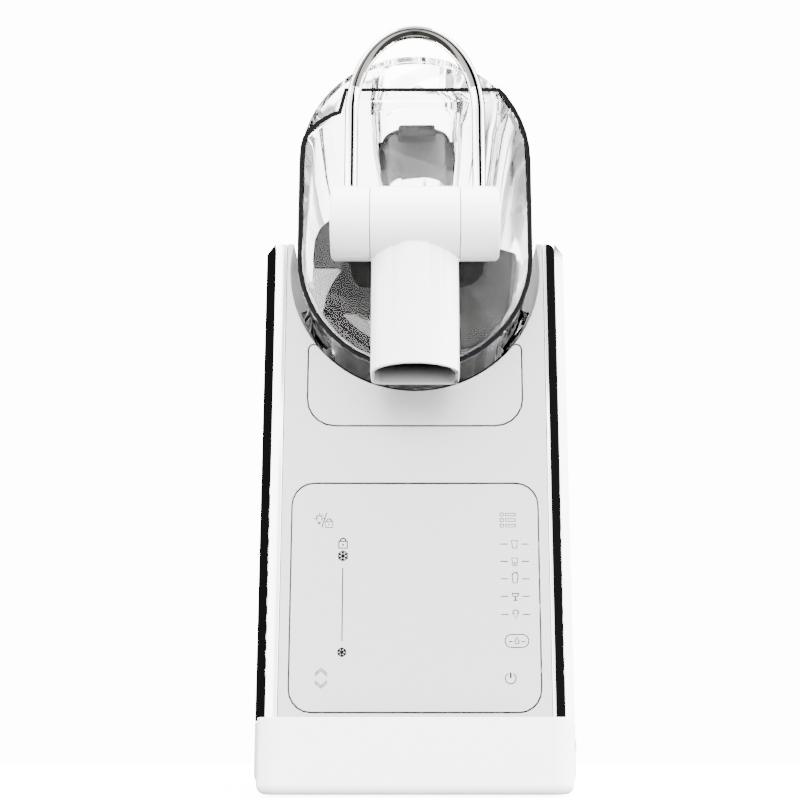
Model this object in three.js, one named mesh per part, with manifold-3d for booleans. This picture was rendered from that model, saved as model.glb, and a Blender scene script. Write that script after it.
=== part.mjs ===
// Countertop frozen-drink and soft-serve machine, built as separate pieces.
// Millimetres, +Z up, +Y to the back. The origin is on the counter, under the middle of the machine.

import * as THREE from 'three';
import { mergeVertices } from 'three/addons/utils/BufferGeometryUtils.js';
import Module from 'manifold-3d';

const wasm = await Module();
wasm.setup();

// Driving dimensions of the body
const halfWidth = 95;
const frontHalfWidth = 87.5;
const panelFront = -90;
const chamferBack = -70;
const back = 200;
const baseBottom = 4;
const baseTop = 40;
const bodyTop = 333.5;
const wall = 3;
const gap = 0.3;
const sheet = 2.4;
const panelHalfWidth = 80;
const cradleRadius = 78;

// Driving dimensions of the drip tray
const trayFront = -200;
const trayHalfWidth = 81;
const trayTop = 39.2;

// Driving dimensions of the freezing cylinder, the vessel and its lid
const axisHeight = 316;
const upperCentre = 380;
const vesselRadius = 71.5;
const vesselWall = 3;
const vesselFront = -115;
const vesselBack = 114.5;
const vesselRim = 427.5;
const notchHeight = 395;
const bulkheadFront = 118.3;
const bulkheadBack = 121.3;
const augerRadius = 65.5;
const drumRadius = 45;
const drumFront = -85;
const coilTail = [30, -25];

// Driving dimensions of the valve and its handle
const valveY = -150;
const valveHeight = 324;
const barrelRadius = 22;
const barrelHalfLength = 49;
const seam = 26;
const spoutBottom = 233;
const handleHalfWidth = 38;
const handleTube = 4;
const machineTop = 452;

// Driving dimensions of the gear train
const gearModule = 1.5;
const gearTeeth = 40;
const pinionTeeth = 12;
const gearFront = 126;
const gearBack = 138;
const pinionHeight = gearModule * (gearTeeth + pinionTeeth) / 2;

// Colours
const finish = {
  satinSilver: { color: 0xd9dbdc, roughness: 0.38, metalness: 0.55 },
  chrome: { color: 0xe9ebec, roughness: 0.06, metalness: 1 },
  glossWhite: { color: 0xf7f7f7, roughness: 0.2, metalness: 0 },
  clear: { color: 0xe6eaec, roughness: 0.04, metalness: 0 },
  darkGrey: { color: 0x5e5f61, roughness: 0.5, metalness: 0 },
  midGrey: { color: 0xa5a6a8, roughness: 0.45, metalness: 0 },
  lightGrey: { color: 0xc9cacb, roughness: 0.42, metalness: 0 },
  black: { color: 0x141415, roughness: 0.5, metalness: 0 },
  rubber: { color: 0x1f1f20, roughness: 0.85, metalness: 0 },
  steel: { color: 0xbfc3c6, roughness: 0.28, metalness: 1 },
  aluminium: { color: 0xc4c8cb, roughness: 0.4, metalness: 1 },
  copper: { color: 0xb8714a, roughness: 0.32, metalness: 1 },
  blackPaint: { color: 0x1a1b1d, roughness: 0.42, metalness: 0.1 },
  board: { color: 0x1f5b38, roughness: 0.5, metalness: 0 },
};

// ---------------------------------------------------------------- making and joining solids

const weld = 1e-4;
const degrees = Math.PI / 180;

function signedVolume(positions, corners) {
  const [a, b, c] = [new THREE.Vector3(), new THREE.Vector3(), new THREE.Vector3()];
  let total = 0;
  for (let i = 0; i < corners.length; i += 3) {
    a.fromArray(positions, corners[i] * 3);
    b.fromArray(positions, corners[i + 1] * 3);
    c.fromArray(positions, corners[i + 2] * 3);
    total += a.dot(b.cross(c));
  }
  return total;
}

// A closed geometry as a manifold solid, with its faces turned outwards.
function toSolid(geometry) {
  const bare = geometry.clone();
  bare.deleteAttribute('normal');
  bare.deleteAttribute('uv');
  const merged = mergeVertices(bare, weld);
  const positions = new Float32Array(merged.attributes.position.array);
  const corners = [];
  for (let i = 0; i < merged.index.count; i += 3) {
    const [a, b, c] = [0, 1, 2].map((k) => merged.index.getX(i + k));
    if (a !== b && b !== c && c !== a) corners.push(a, b, c);
  }
  if (signedVolume(positions, corners) < 0) corners.reverse();
  return new wasm.Manifold(new wasm.Mesh({
    numProp: 3,
    vertProperties: positions,
    triVerts: new Uint32Array(corners),
  }));
}

function join(first, ...others) {
  return others.reduce((whole, other) => whole.add(other), first);
}

function cut(first, ...others) {
  return others.reduce((whole, other) => whole.subtract(other), first);
}

// A named mesh of one piece, in one of the finishes.
function piece(name, solid, look, position = [0, 0, 0]) {
  const mesh = solid.getMesh();
  const geometry = new THREE.BufferGeometry();
  geometry.setAttribute('position', new THREE.BufferAttribute(new Float32Array(mesh.vertProperties), 3));
  geometry.setIndex(new THREE.BufferAttribute(new Uint32Array(mesh.triVerts), 1));
  geometry.computeVertexNormals();
  const made = new THREE.Mesh(geometry, new THREE.MeshStandardMaterial(finish[look]));
  made.name = name;
  made.position.set(...position);
  return made;
}

// ---------------------------------------------------------------- outlines

function arc(x, y, radius, from, to, steps) {
  return Array.from({ length: steps + 1 }, (_, i) => {
    const angle = (from + (to - from) * i / steps) * degrees;
    return [x + radius * Math.cos(angle), y + radius * Math.sin(angle)];
  });
}

function circle(x, y, radius, steps = 24) {
  return arc(x, y, radius, 0, 360 - 360 / steps, steps - 1);
}

function bend(start, control, end, steps) {
  return Array.from({ length: steps + 1 }, (_, i) => {
    const t = i / steps;
    return [0, 1].map((k) => (1 - t) ** 2 * start[k] + 2 * t * (1 - t) * control[k] + t * t * end[k]);
  });
}

function outline(points) {
  return new THREE.Shape(points.map(([x, y]) => new THREE.Vector2(x, y)));
}

// A rectangle whose radii are given from the low left corner, anticlockwise.
function roundedRectangle(x0, x1, y0, y1, radii, steps = 4) {
  const corner = (x, y, sx, sy, radius, from) => (
    radius > 0 ? arc(x + sx * radius, y + sy * radius, radius, from, from + 90, steps) : [[x, y]]
  );
  const [a, b, c, d] = Array.isArray(radii) ? radii : [radii, radii, radii, radii];
  return [
    ...corner(x0, y0, 1, 1, a, 180),
    ...corner(x1, y0, -1, 1, b, 270),
    ...corner(x1, y1, -1, -1, c, 0),
    ...corner(x0, y1, 1, -1, d, 90),
  ];
}

function mirrored(points, side) {
  return points.map(([x, y]) => [side * x, y]);
}

function turnedAbout(points, angle) {
  const [c, s] = [Math.cos(angle * degrees), Math.sin(angle * degrees)];
  return points.map(([x, y]) => [c * x - s * y, s * x + c * y]);
}

// Two half circles joined by straight sides: the section of the vessel.
function stadium(radius, steps = 24) {
  return [
    ...arc(0, axisHeight, radius, 180, 360, steps),
    ...arc(0, upperCentre, radius, 0, 180, steps),
  ];
}

// ---------------------------------------------------------------- basic solids

function extruded(points, depth, options = {}) {
  return new THREE.ExtrudeGeometry(outline(points), { depth, bevelEnabled: false, ...options });
}

// A profile in X and Y raised along Z.
function prismZ(points, z0, z1) {
  return toSolid(extruded(points, z1 - z0).translate(0, 0, z0));
}

// A profile in X and Z drawn out along Y.
function prismY(points, y0, y1) {
  return toSolid(extruded(points, y1 - y0).rotateX(90 * degrees).translate(0, y1, 0));
}

// A prism along Z with a rounded lower edge, open to any height above it.
function roundedBottomPrism(points, z0, z1, radius) {
  const geometry = extruded(points, z1 - z0, {
    bevelEnabled: true, bevelThickness: radius, bevelSize: radius, bevelOffset: -radius, bevelSegments: 3,
  });
  const whole = toSolid(geometry.translate(0, 0, z0 + radius));
  return whole.intersect(block(-300, 300, -300, 300, z0, z1));
}

function block(x0, x1, y0, y1, z0, z1) {
  const box = new THREE.BoxGeometry(x1 - x0, y1 - y0, z1 - z0);
  return toSolid(box.translate((x0 + x1) / 2, (y0 + y1) / 2, (z0 + z1) / 2));
}

function rodX(radius, x0, x1, y = 0, z = 0, steps = 24) {
  const rod = new THREE.CylinderGeometry(radius, radius, x1 - x0, steps).rotateZ(90 * degrees);
  return toSolid(rod.translate((x0 + x1) / 2, y, z));
}

function rodY(radius, y0, y1, x = 0, z = 0, steps = 24) {
  const rod = new THREE.CylinderGeometry(radius, radius, y1 - y0, steps);
  return toSolid(rod.translate(x, (y0 + y1) / 2, z));
}

function rodZ(radius, z0, z1, x = 0, y = 0, steps = 24) {
  const rod = new THREE.CylinderGeometry(radius, radius, z1 - z0, steps).rotateX(90 * degrees);
  return toSolid(rod.translate(x, y, (z0 + z1) / 2));
}

// A profile of radius and height turned about Z.
function turnedZ(profile, steps = 24) {
  const points = profile.map(([r, h]) => new THREE.Vector2(r, h));
  return toSolid(new THREE.LatheGeometry(points, steps).rotateX(90 * degrees));
}

// A profile of radius and depth turned about Y. It closes on itself where it leaves the axis free.
function turnedY(profile, steps = 32) {
  const points = profile.map(([r, y]) => new THREE.Vector2(r, y));
  return toSolid(new THREE.LatheGeometry(points, steps));
}

function tube(points, radius, sides, steps) {
  const route = new THREE.CatmullRomCurve3(points.map((p) => new THREE.Vector3(...p)), false, 'centripetal');
  const section = outline(circle(0, 0, radius, sides));
  return toSolid(new THREE.ExtrudeGeometry(section, { steps, extrudePath: route, bevelEnabled: false }));
}

// ---------------------------------------------------------------- base, feet and drip tray

// The plan of the body: the two front corners are cut off, the two rear corners are round.
function bodyPlan(inset) {
  const chamfer = Math.atan2(halfWidth - frontHalfWidth, chamferBack - panelFront);
  const front = [frontHalfWidth - inset * Math.tan((90 * degrees - chamfer) / 2), panelFront + inset];
  const side = [halfWidth - inset, chamferBack + inset * Math.tan(chamfer / 2)];
  const rearRadius = 10;
  return [
    [-front[0], front[1]],
    front,
    side,
    ...arc(halfWidth - rearRadius, back - rearRadius, rearRadius - inset, 0, 90, 4),
    ...arc(rearRadius - halfWidth, back - rearRadius, rearRadius - inset, 90, 180, 4),
    [-side[0], side[1]],
  ];
}

const footPlaces = {
  front_left_foot: [-74, -68], front_right_foot: [74, -68],
  rear_left_foot: [-74, 176], rear_right_foot: [74, 176],
};
const switchPlace = [90.5, -55, 26.75];
const switchHalf = [7.2, 9.6];
const tongueInner = 35;
const tongueOuter = 55;

function basePan() {
  const floorTop = 8;
  const shell = roundedBottomPrism(bodyPlan(0), baseBottom, baseTop, 6);
  const room = prismZ(bodyPlan(wall), floorTop, baseTop + 1);
  const footHoles = Object.values(footPlaces).map(([x, y]) => rodZ(3.8, 0, 20, x, y, 10));
  const [, y, z] = switchPlace;
  const [halfY, halfZ] = switchHalf;
  const switchHole = block(88, 99, y - halfY - gap, y + halfY + gap, z - halfZ - gap, z + halfZ + gap);
  const tongueSlots = [-1, 1].map((side) => {
    const [a, b] = [side * (tongueInner - 0.5), side * (tongueOuter + 0.5)];
    return block(Math.min(a, b), Math.max(a, b), -92, -85, 11.7, 16.7);
  });
  return cut(shell, room, ...footHoles, switchHole, ...tongueSlots);
}

function foot() {
  return turnedZ([
    [0, 0], [8, 0], [9, 1], [9, 3.7], [3.2, 3.7], [3.2, 8.3], [5, 8.3], [4, 10.5], [0, 10.5],
  ], 14);
}

function trayPlan(inset) {
  const front = 10 - inset;
  const rear = Math.max(3 - inset, 0.5);
  return roundedRectangle(
    inset - trayHalfWidth, trayHalfWidth - inset, trayFront + inset, -92.3 - inset,
    [front, front, rear, rear], 4,
  );
}

function dripTray() {
  const shell = roundedBottomPrism(trayPlan(0), 1, trayTop, 2.9);
  const basin = prismZ(trayPlan(2.6), 4, trayTop + 1);
  const rebate = prismZ(trayPlan(1.4), 35.9, trayTop + 1);
  const tongues = [-1, 1].map((side) => {
    const [a, b] = [side * tongueInner, side * tongueOuter];
    return block(Math.min(a, b), Math.max(a, b), -94, -80, 12.2, 16.2);
  });
  return join(cut(shell, basin, rebate), ...tongues);
}

function dripGrid() {
  const plate = prismZ(trayPlan(1.7), 36.2, 38.8);
  const slotCount = 11;
  const pitch = 12.6;
  const slots = Array.from({ length: slotCount }, (_, i) => {
    const x = (i - (slotCount - 1) / 2) * pitch;
    return prismZ(roundedRectangle(x - 2.6, x + 2.6, -190, -102, 2.55, 1), 30, 45);
  });
  return cut(plate, ...slots);
}

// ---------------------------------------------------------------- front: panel, covers and trims

const coverHalfWidth = 65.4;
const coverBottom = 216.5;
const hornRadius = 3;

// The plate under the vessel. Its top edge follows the cradle, and it ends in two round horns.
function coverPoints(grow) {
  const cornerX = coverHalfWidth - 16.5;
  const hornX = coverHalfWidth - hornRadius;
  const reach = cradleRadius + hornRadius;
  const hornZ = axisHeight - Math.sqrt(reach ** 2 - hornX ** 2);
  const meet = Math.asin(hornX / reach) / degrees;
  const half = [
    ...arc(cornerX, coverBottom + 16.5, 16.5 + grow, -90, 0, 5),
    ...arc(hornX, hornZ, hornRadius + grow, 0, 90 + meet, 5),
  ];
  return [
    ...half,
    ...arc(0, axisHeight, cradleRadius - grow, meet - 90, -meet - 90, 24).slice(1, -1),
    ...mirrored(half, -1).reverse(),
  ];
}

const controlEdges = [-73.6, 73.6, 45.3, 180];
const controlRadius = 13;

function controlPoints(grow) {
  const [x0, x1, z0, z1] = controlEdges;
  return roundedRectangle(x0 - grow, x1 + grow, z0 - grow, z1 + grow, controlRadius + grow, 5);
}

function frontPanel() {
  const groove = 0.8;
  const plate = block(-panelHalfWidth, panelHalfWidth, panelFront, panelFront + wall, baseTop + 0.5, bodyTop);
  return cut(
    plate,
    rodY(cradleRadius, -95, -80, 0, axisHeight, 64),
    prismY(coverPoints(groove), -95, -80),
    prismY(controlPoints(groove), -95, -80),
  );
}

// A touch panel: the outside face is smooth, with a frame and bosses behind it.
function controlPanel() {
  return join(
    prismY(controlPoints(0), panelFront, panelFront + wall),
    block(-62, -56, -88, -84.5, 60, 66),
    block(56, 62, -88, -84.5, 60, 66),
    block(-62, -56, -88, -84.5, 158, 164),
    block(56, 62, -88, -84.5, 158, 164),
  );
}

function controlBoard() {
  return join(
    block(-66, 66, -84.2, -82.6, 56, 168),
    block(-50, -30, -83, -78, 80, 100),
    block(-10, 18, -83, -80, 70, 98),
    block(30, 50, -83, -76, 66, 76),
    block(-58, -50, -83, -74, 130, 150),
  );
}

function condensateCover() {
  return join(
    prismY(coverPoints(0), panelFront, panelFront + wall),
    block(-40, -30, -88, -86.9, 222, 230),
    block(30, 40, -88, -86.9, 222, 230),
  );
}

function condensateTray() {
  const outer = prismZ(roundedRectangle(-58, 58, -86.6, -22, 4, 3), 219, 233.5);
  const basin = prismZ(roundedRectangle(-56.4, 56.4, -85, -23.6, 2.4, 3), 220.6, 240);
  return cut(outer, basin);
}

function trim(side) {
  const [inner, outer] = [panelHalfWidth + gap, frontHalfWidth - 0.2];
  const face = mirrored(
    roundedRectangle(inner, outer, baseTop + 0.5, bodyTop, [0, 0, 4, 0], 4), side,
  );
  return prismY(face, panelFront, panelFront + 8);
}

function sidePanel(side) {
  const rear = 195.5;
  const inside = halfWidth - sheet;
  const plan = mirrored([
    [87.7, -89.6], [halfWidth, chamferBack], [halfWidth, rear],
    [inside, rear], [inside, chamferBack + 0.4], [87.7, -81.8],
  ], side);
  const shell = prismZ(plan, baseTop + 0.5, bodyTop);
  const slots = Array.from({ length: 10 }, (_, i) => {
    const z = 70 + 11 * i;
    return block(85, 100, -40, 10, z, z + 4).translate([side < 0 ? -185 : 0, 0, 0]);
  });
  return cut(shell, ...slots);
}

// ---------------------------------------------------------------- cradle, bulkhead and rear housing

function cradleCover() {
  const skin = 2.5;
  const edge = 92.3;
  const meet = (radius, z) => Math.asin((z - axisHeight) / radius) / degrees;
  const upper = meet(cradleRadius, bodyTop);
  const lower = meet(cradleRadius + skin, bodyTop - skin);
  const section = [
    [edge, bodyTop - 8],
    [edge, bodyTop],
    ...arc(0, axisHeight, cradleRadius, upper, -180 - upper, 36),
    [-edge, bodyTop],
    [-edge, bodyTop - 8],
    [skin - edge, bodyTop - 8],
    [skin - edge, bodyTop - skin],
    ...arc(0, axisHeight, cradleRadius + skin, -180 - lower, lower, 36),
    [edge - skin, bodyTop - skin],
    [edge - skin, bodyTop - 8],
  ];
  const drain = rodZ(5, 200, 260, 0, -60, 12);
  const trimPlan = [[panelHalfWidth, -95], [edge, -95], [edge, -81.5], [panelHalfWidth, -81.5]];
  const trimRoom = [-1, 1].map((side) => prismZ(mirrored(trimPlan, side), 200, 350));
  const inside = prismZ(bodyPlan(sheet + 0.7), 200, 350);
  return cut(prismY(section, -86.7, 118), drain, ...trimRoom).intersect(inside);
}

// The dark channel under the vessel that leads meltwater to the small tray below.
function cradleLiner() {
  const section = [
    ...arc(0, axisHeight, 77.5, -46, -134, 16),
    ...arc(0, axisHeight, 76.2, -134, -46, 16),
  ];
  const lip = prismZ(circle(0, -60, 4.5, 12), 232, 239.5);
  const drain = rodZ(3.2, 200, 260, 0, -60, 12);
  return cut(join(prismY(section, -86.4, 117.7), lip), drain);
}

function bulkhead() {
  const upperFace = roundedRectangle(-76.4, 76.4, 320, 436.4, [0, 0, 46, 46], 6);
  const upper = prismY(upperFace, bulkheadFront, bulkheadBack);
  const lower = block(-84, 84, bulkheadFront, bulkheadBack, 228, 330.2);
  return cut(
    join(upper, lower),
    rodY(12.3, 110, 130, 0, axisHeight),
    rodY(3.2, 110, 130, coilTail[0], axisHeight + coilTail[1], 10),
    rodY(3.2, 110, 130, -coilTail[0], axisHeight + coilTail[1], 10),
  );
}

function towerPoints(inset, bottom) {
  const top = 50 - inset;
  return roundedRectangle(inset - 80, 80 - inset, bottom, 440 - inset, [0, 0, top, top], 6);
}

function rearTower() {
  const shell = prismY(towerPoints(0, bodyTop + gap), bulkheadFront, back);
  const shoulder = block(-92.1, 92.1, bulkheadFront, 195.5, bodyTop - wall, bodyTop + 0.5);
  const room = prismY(towerPoints(wall, bodyTop - 20), bulkheadFront - 5, back - wall);
  const vents = Array.from({ length: 5 }, (_, i) => block(-30, 30, 190, 205, 350 + 11 * i, 354 + 11 * i));
  return cut(join(shell, shoulder), room, ...vents);
}

const inletEdges = [41, 69, 51, 73];

function rearCover() {
  const plan = [
    [-halfWidth, 195.8], [halfWidth, 195.8],
    ...arc(halfWidth - 4, 195.8, 4, 0, 90, 4).slice(1),
    ...arc(4 - halfWidth, 195.8, 4, 90, 180, 4).slice(0, -1),
  ];
  const plate = prismZ(plan, baseTop + 0.5, bodyTop);
  const room = block(-80, 80, 190, 197.6, baseTop, bodyTop - 10);
  const vents = Array.from({ length: 9 }, (_, i) => {
    const z = 100 + 18 * i;
    return [block(-70, -4, 190, 205, z, z + 6), block(4, 70, 190, 205, z, z + 6)];
  }).flat();
  const [x0, x1, z0, z1] = inletEdges;
  return cut(plate, room, block(x0 - gap, x1 + gap, 190, 205, z0 - gap, z1 + gap), ...vents);
}

// ---------------------------------------------------------------- cooling unit

function compressorPlate() {
  const plate = prismZ(roundedRectangle(-84, 8, 82, 174, 8, 3), 12, 14.5);
  const legs = [[-76, 90], [0, 90], [-76, 166], [0, 166]].map(([x, y]) => rodZ(5, 8.3, 13, x, y, 10));
  return join(plate, ...legs);
}

function compressor() {
  const can = turnedZ([
    [0, 14.8], [30, 14.8], [32, 22], [38, 30], [40, 40], [40, 128], [37, 138], [28, 146], [12, 150], [0, 150],
  ], 20);
  const accumulator = turnedZ([
    [0, 48], [8, 50], [11, 56], [11, 128], [8, 136], [4, 142], [4, 158], [0, 158],
  ], 12);
  const bracket = block(36, 50, -6, 6, 60, 110);
  const terminals = block(-14, 14, -46, -34, 70, 100);
  return join(can, accumulator.translate([52, 0, 0]), bracket, terminals);
}

function condenser() {
  const core = block(-78, 78, -22, 0, 48, 200);
  const grooves = [];
  for (let x = -60; x <= 70; x += 20) {
    grooves.push(block(x - 5, x + 5, -23, -17, 54, 194), block(x - 5, x + 5, -5, 1, 54, 194));
  }
  const stub = rodZ(4, 199, 206, -70, -11, 10);
  const bends = [64, 104, 144, 184].map((z) => (
    cut(rodY(12, -14, -8, 78, z, 16), rodY(6, -20, 0, 78, z, 16)).intersect(block(77, 92, -20, 0, 40, 200))
  ));
  return join(cut(core, ...grooves), stub, ...bends);
}

const fanHeight = 120;

function fanFrame() {
  const frame = prismY(roundedRectangle(-62, 62, -62, 62, 8, 3), 4, 28);
  const opening = rodY(56.5, 0, 30, 0, 0, 32);
  const arms = [0, 90].map((angle) => (
    prismY(turnedAbout(roundedRectangle(-60, 60, -3, 3, 0), angle), 23, 26)
  ));
  return join(cut(frame, opening), ...arms, rodY(15, 22, 27, 0, 0, 16), rodY(3.7, 12, 23, 0, 0, 10));
}

function fanRotor() {
  const hub = cut(rodY(17, 7, 20.5, 0, 0, 18), rodY(4.1, 11, 22, 0, 0, 10));
  const blades = Array.from({ length: 7 }, (_, i) => {
    const blade = new THREE.BoxGeometry(39, 1.8, 16).translate(34.5, 0, 0).rotateX(55 * degrees);
    return toSolid(blade.rotateY(360 / 7 * i * degrees).translate(0, 13.7, 0));
  });
  return join(hub, ...blades);
}

function drierFilter() {
  return turnedZ([[0, 88], [2.5, 88], [2.5, 94], [8, 102], [8, 150], [2.5, 158], [2.5, 164], [0, 164]], 12);
}

function dischargePipe() {
  return tube([
    [-38, 128, 150.4], [-38, 128, 180], [-46, 108, 204], [-60, 60, 213], [-69, 15, 217], [-70, -5, 217],
    [-70, -11, 213], [-70, -11, 206.5],
  ], 3, 6, 22);
}

function suctionPipe() {
  return tube([
    [coilTail[0], 124.5, axisHeight + coilTail[1]], [30, 132, 290], [30, 142, 278], [25, 145, 240],
    [16, 136, 200], [14, 128, 176], [14, 128, 158.5],
  ], 2.5, 6, 18);
}

function liquidLine() {
  return tube([
    [-coilTail[0], 124.5, axisHeight + coilTail[1]], [-30, 130, 290], [-30, 137, 278], [-27, 138, 235],
    [10, 95, 210], [55, 65, 205], [71, 51, 186], [72, 50, 172], [72, 50, 164.5],
  ], 1.8, 6, 26);
}

function powerBoard() {
  return join(
    block(60, 61.6, 72, 168, 50, 170),
    block(40, 61, 100, 124, 60, 96),
    rodX(9, 38, 61, 140, 72, 12),
    rodX(9, 38, 61, 140, 96, 12),
    block(48, 61, 84, 112, 120, 150),
    block(52, 61, 130, 160, 124, 136),
  );
}

function powerInlet() {
  const [x0, x1, z0, z1] = inletEdges;
  const body = block(x0, x1, 178, 199.6, z0, z1);
  const flange = block(x0 - 4, x1 + 4, 192, 197.2, z0 - 4, z1 + 4);
  const pocket = block(x0 + 3, x1 - 3, 184, 202, z0 + 3, z1 - 3);
  const blades = [[-6, 59], [0, 65], [6, 59]].map(([x, z]) => (
    block(54 + x, 56 + x, 183, 196, z - 2, z + 2)
  ));
  return join(cut(join(body, flange), pocket), ...blades);
}

function switchHousing() {
  const [x, y, z] = switchPlace;
  const [halfY, halfZ] = switchHalf;
  const body = block(78, 94.6, y - halfY, y + halfY, z - halfZ, z + halfZ);
  const pocket = block(x - 5.5, 99, y - 5.4, y + 5.4, z - 7.9, z + 7.9);
  return cut(body, pocket);
}

function rockerSwitch() {
  const crown = 16;
  const half = Math.asin(7 / crown) / degrees;
  const proud = 6.2;
  return prismY([...arc(proud - crown, 0, crown, -half, half, 8), [-2, 5], [-3.5, 0], [-2, -5]], -5, 5);
}

// ---------------------------------------------------------------- freezing drum and drive

function evaporatorDrum() {
  return turnedY([
    [9, drumFront], [42, drumFront], [drumRadius, drumFront + 3], [drumRadius, 112], [52, 112], [52, 118],
    [42.5, 118], [42.5, drumFront + 3], [11.5, drumFront + 3], [11.5, 118], [9, 118], [9, drumFront],
  ], 26);
}

// The cooling pipe inside the drum: one straight run to the front, then a helix back.
function evaporatorCoil() {
  const [tailX, tailZ] = coilTail;
  const helixRadius = 30;
  const turns = 4;
  const [front, rear] = [-70, 92];
  const start = Math.atan2(tailZ, -tailX) / degrees;
  const sweep = 360 * turns + 2 * (-90 - start);
  const stepsPerTurn = 12;
  const count = Math.round(stepsPerTurn * Math.abs(sweep) / 360);
  const helix = Array.from({ length: count + 1 }, (_, i) => {
    const angle = (start + sweep * i / count) * degrees;
    const y = front + (rear - front) * i / count;
    const radius = helixRadius + 2.2 * Math.max(0, 4 - i, 4 - count + i);
    return [radius * Math.cos(angle), y, radius * Math.sin(angle)];
  });
  return tube([
    [-tailX, 123.9, tailZ], [-tailX, 60, tailZ], [-tailX, 0, tailZ], [-tailX, -55, tailZ],
    ...helix,
    [tailX, 104, tailZ], [tailX, 114, tailZ], [tailX, 123.9, tailZ],
  ], 2.5, 5, 84);
}

function ring(outer, inner, y0, y1, steps = 24) {
  return cut(rodY(outer, y0, y1, 0, 0, steps), rodY(inner, y0 - 1, y1 + 1, 0, 0, steps));
}

function driveShaft() {
  return join(
    prismY(circle(0, 0, 5.9, 6), -100.5, -85.5),
    rodY(5.9, -86, 124, 0, 0, 16),
    prismY(circle(0, 0, 5.9, 6), 123, 141),
  );
}

// Straight-sided teeth, a little thinner than their spaces so that the wheels turn freely.
function gearPoints(teeth, phase) {
  const pitchRadius = gearModule * teeth / 2;
  const step = 360 / teeth;
  const [root, tip] = [pitchRadius - 1.3 * gearModule, pitchRadius + 0.8 * gearModule];
  const [rootHalf, tipHalf] = [0.27 * step, 0.12 * step];
  return Array.from({ length: teeth }, (_, i) => {
    const middle = phase + i * step;
    return [
      pointAt(root, middle - rootHalf), pointAt(tip, middle - tipHalf),
      pointAt(tip, middle + tipHalf), pointAt(root, middle + rootHalf),
    ];
  }).flat();
}

function pointAt(radius, angle) {
  return [radius * Math.cos(angle * degrees), radius * Math.sin(angle * degrees)];
}

function driveGear() {
  const wheel = prismY(gearPoints(gearTeeth, 90), gearFront, gearBack);
  return cut(wheel, prismY(circle(0, 0, 6.5, 6), 120, 145));
}

function motorPinion() {
  const wheel = prismY(gearPoints(pinionTeeth, 90 + 180 / pinionTeeth), gearFront - 0.5, gearBack + 0.5);
  return join(wheel, rodY(3, gearBack, 153, 0, 0, 10));
}

function gearboxHousing() {
  const outer = join(rodY(36, 121.6, 146, 0, 0, 32), rodY(16, 121.6, 146, 0, pinionHeight),
    block(-16, 16, 121.6, 146, 20, pinionHeight));
  const room = join(rodY(33.3, 120, 143, 0, 0, 32), rodY(13, 120, 143, 0, pinionHeight));
  return cut(outer, room, rodY(3.6, 140, 150, 0, pinionHeight, 10));
}

function gearMotor() {
  const can = join(
    rodY(26, 146.3, 186, 0, 0, 28),
    rodY(20, 186, 192, 0, 0, 20),
    block(-3, 3, 186, 194, 6, 14),
  );
  return cut(can, rodY(3.6, 140, 155, 0, 0, 10));
}

// The paddle at the front of the auger: a wide lobe that sweeps the bottom, and a small one above it.
function paddlePoints() {
  const flat = 5;
  const hubReach = 45;
  return [
    ...bend([augerRadius - 6, flat], [augerRadius - 2.8, flat], [augerRadius - 2.8, flat - 4], 3),
    ...arc(0, 0, augerRadius - 2.8, -6, -12, 2),
    ...arc(0, 0, augerRadius, -26, -149, 18),
    ...bend([-55, -31], [-54, -17], [-hubReach, -flat - 2], 4),
    [-hubReach - 2, -flat],
    ...bend([6 - augerRadius, -flat], [2.8 - augerRadius, -flat], [2.8 - augerRadius, 4 - flat], 3),
    [-61.7, 13], [-58.8, 20], [-53.5, 25.5], [-46, 30],
    ...bend([-38, 34], [-22, 45], [0, 45], 4),
    ...arc(0, 0, hubReach, 80, 12, 7),
  ];
}

function sector(inner, outer, from, to, steps) {
  return [...arc(0, 0, outer, from, to, steps), ...arc(0, 0, inner, to, from, steps)];
}

const paddleFront = -110;
const paddleBack = -105.5;
const bladeStart = -75;

// A blade that winds round the drum: a sector drawn out along the axis while it turns.
function helixBlade(y0, y1, turns, steps) {
  const points = sector(drumRadius + 1.8, augerRadius - 0.2, bladeStart - 11, bladeStart + 11, 2);
  const geometry = extruded(points, y1 - y0, { steps });
  const places = geometry.attributes.position;
  for (let i = 0; i < places.count; i += 1) {
    const angle = turns * 360 * (places.getZ(i) / (y1 - y0) - 1);
    const [x, y] = turnedAbout([[places.getX(i), places.getY(i)]], angle)[0];
    places.setXY(i, x, y);
  }
  return toSolid(geometry.rotateX(90 * degrees).translate(0, y1, 0));
}

function augerPaddle() {
  const paddle = prismY(paddlePoints(), paddleFront, paddleBack);
  const underHub = block(-80, 80, -120, -95, -80, -34);
  const window = prismY(sector(26, 56, 205, 262, 6), -115, -100).intersect(underHub);
  const hub = rodY(13, paddleFront, drumFront - 1.5, 0, 0, 20);
  const socket = prismY(circle(0, 0, 6.5, 6), -101, -80);
  return cut(join(cut(paddle, window), hub), socket);
}

// The winding blade ends in a ring round the back of the drum. It is pegged to the paddle in front.
function augerBlade() {
  const blade = helixBlade(paddleBack + gap, 104, 2.5, 50);
  return join(blade, ring(52, 46.8, 99, 105, 28));
}

// ---------------------------------------------------------------- vessel, lid and hatch

const hingeAngle = 42;
const hingeReach = 72;
const hinge = [
  hingeReach * Math.cos(hingeAngle * degrees),
  upperCentre + hingeReach * Math.sin(hingeAngle * degrees),
];
const knuckle = 2.5;
const knuckleBore = 1.45;

function knuckleBarrel(y0, y1) {
  return rodY(knuckle, y0, y1, hinge[0], hinge[1], 12);
}

function knuckleHole() {
  return rodY(knuckleBore, -90, 90, hinge[0], hinge[1], 10);
}

// The room that one side's hinge barrels need in the other side's edge.
function hingeRoom(y0, y1) {
  return rodY(knuckle + gap, y0, y1, hinge[0], hinge[1], 12);
}

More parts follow.
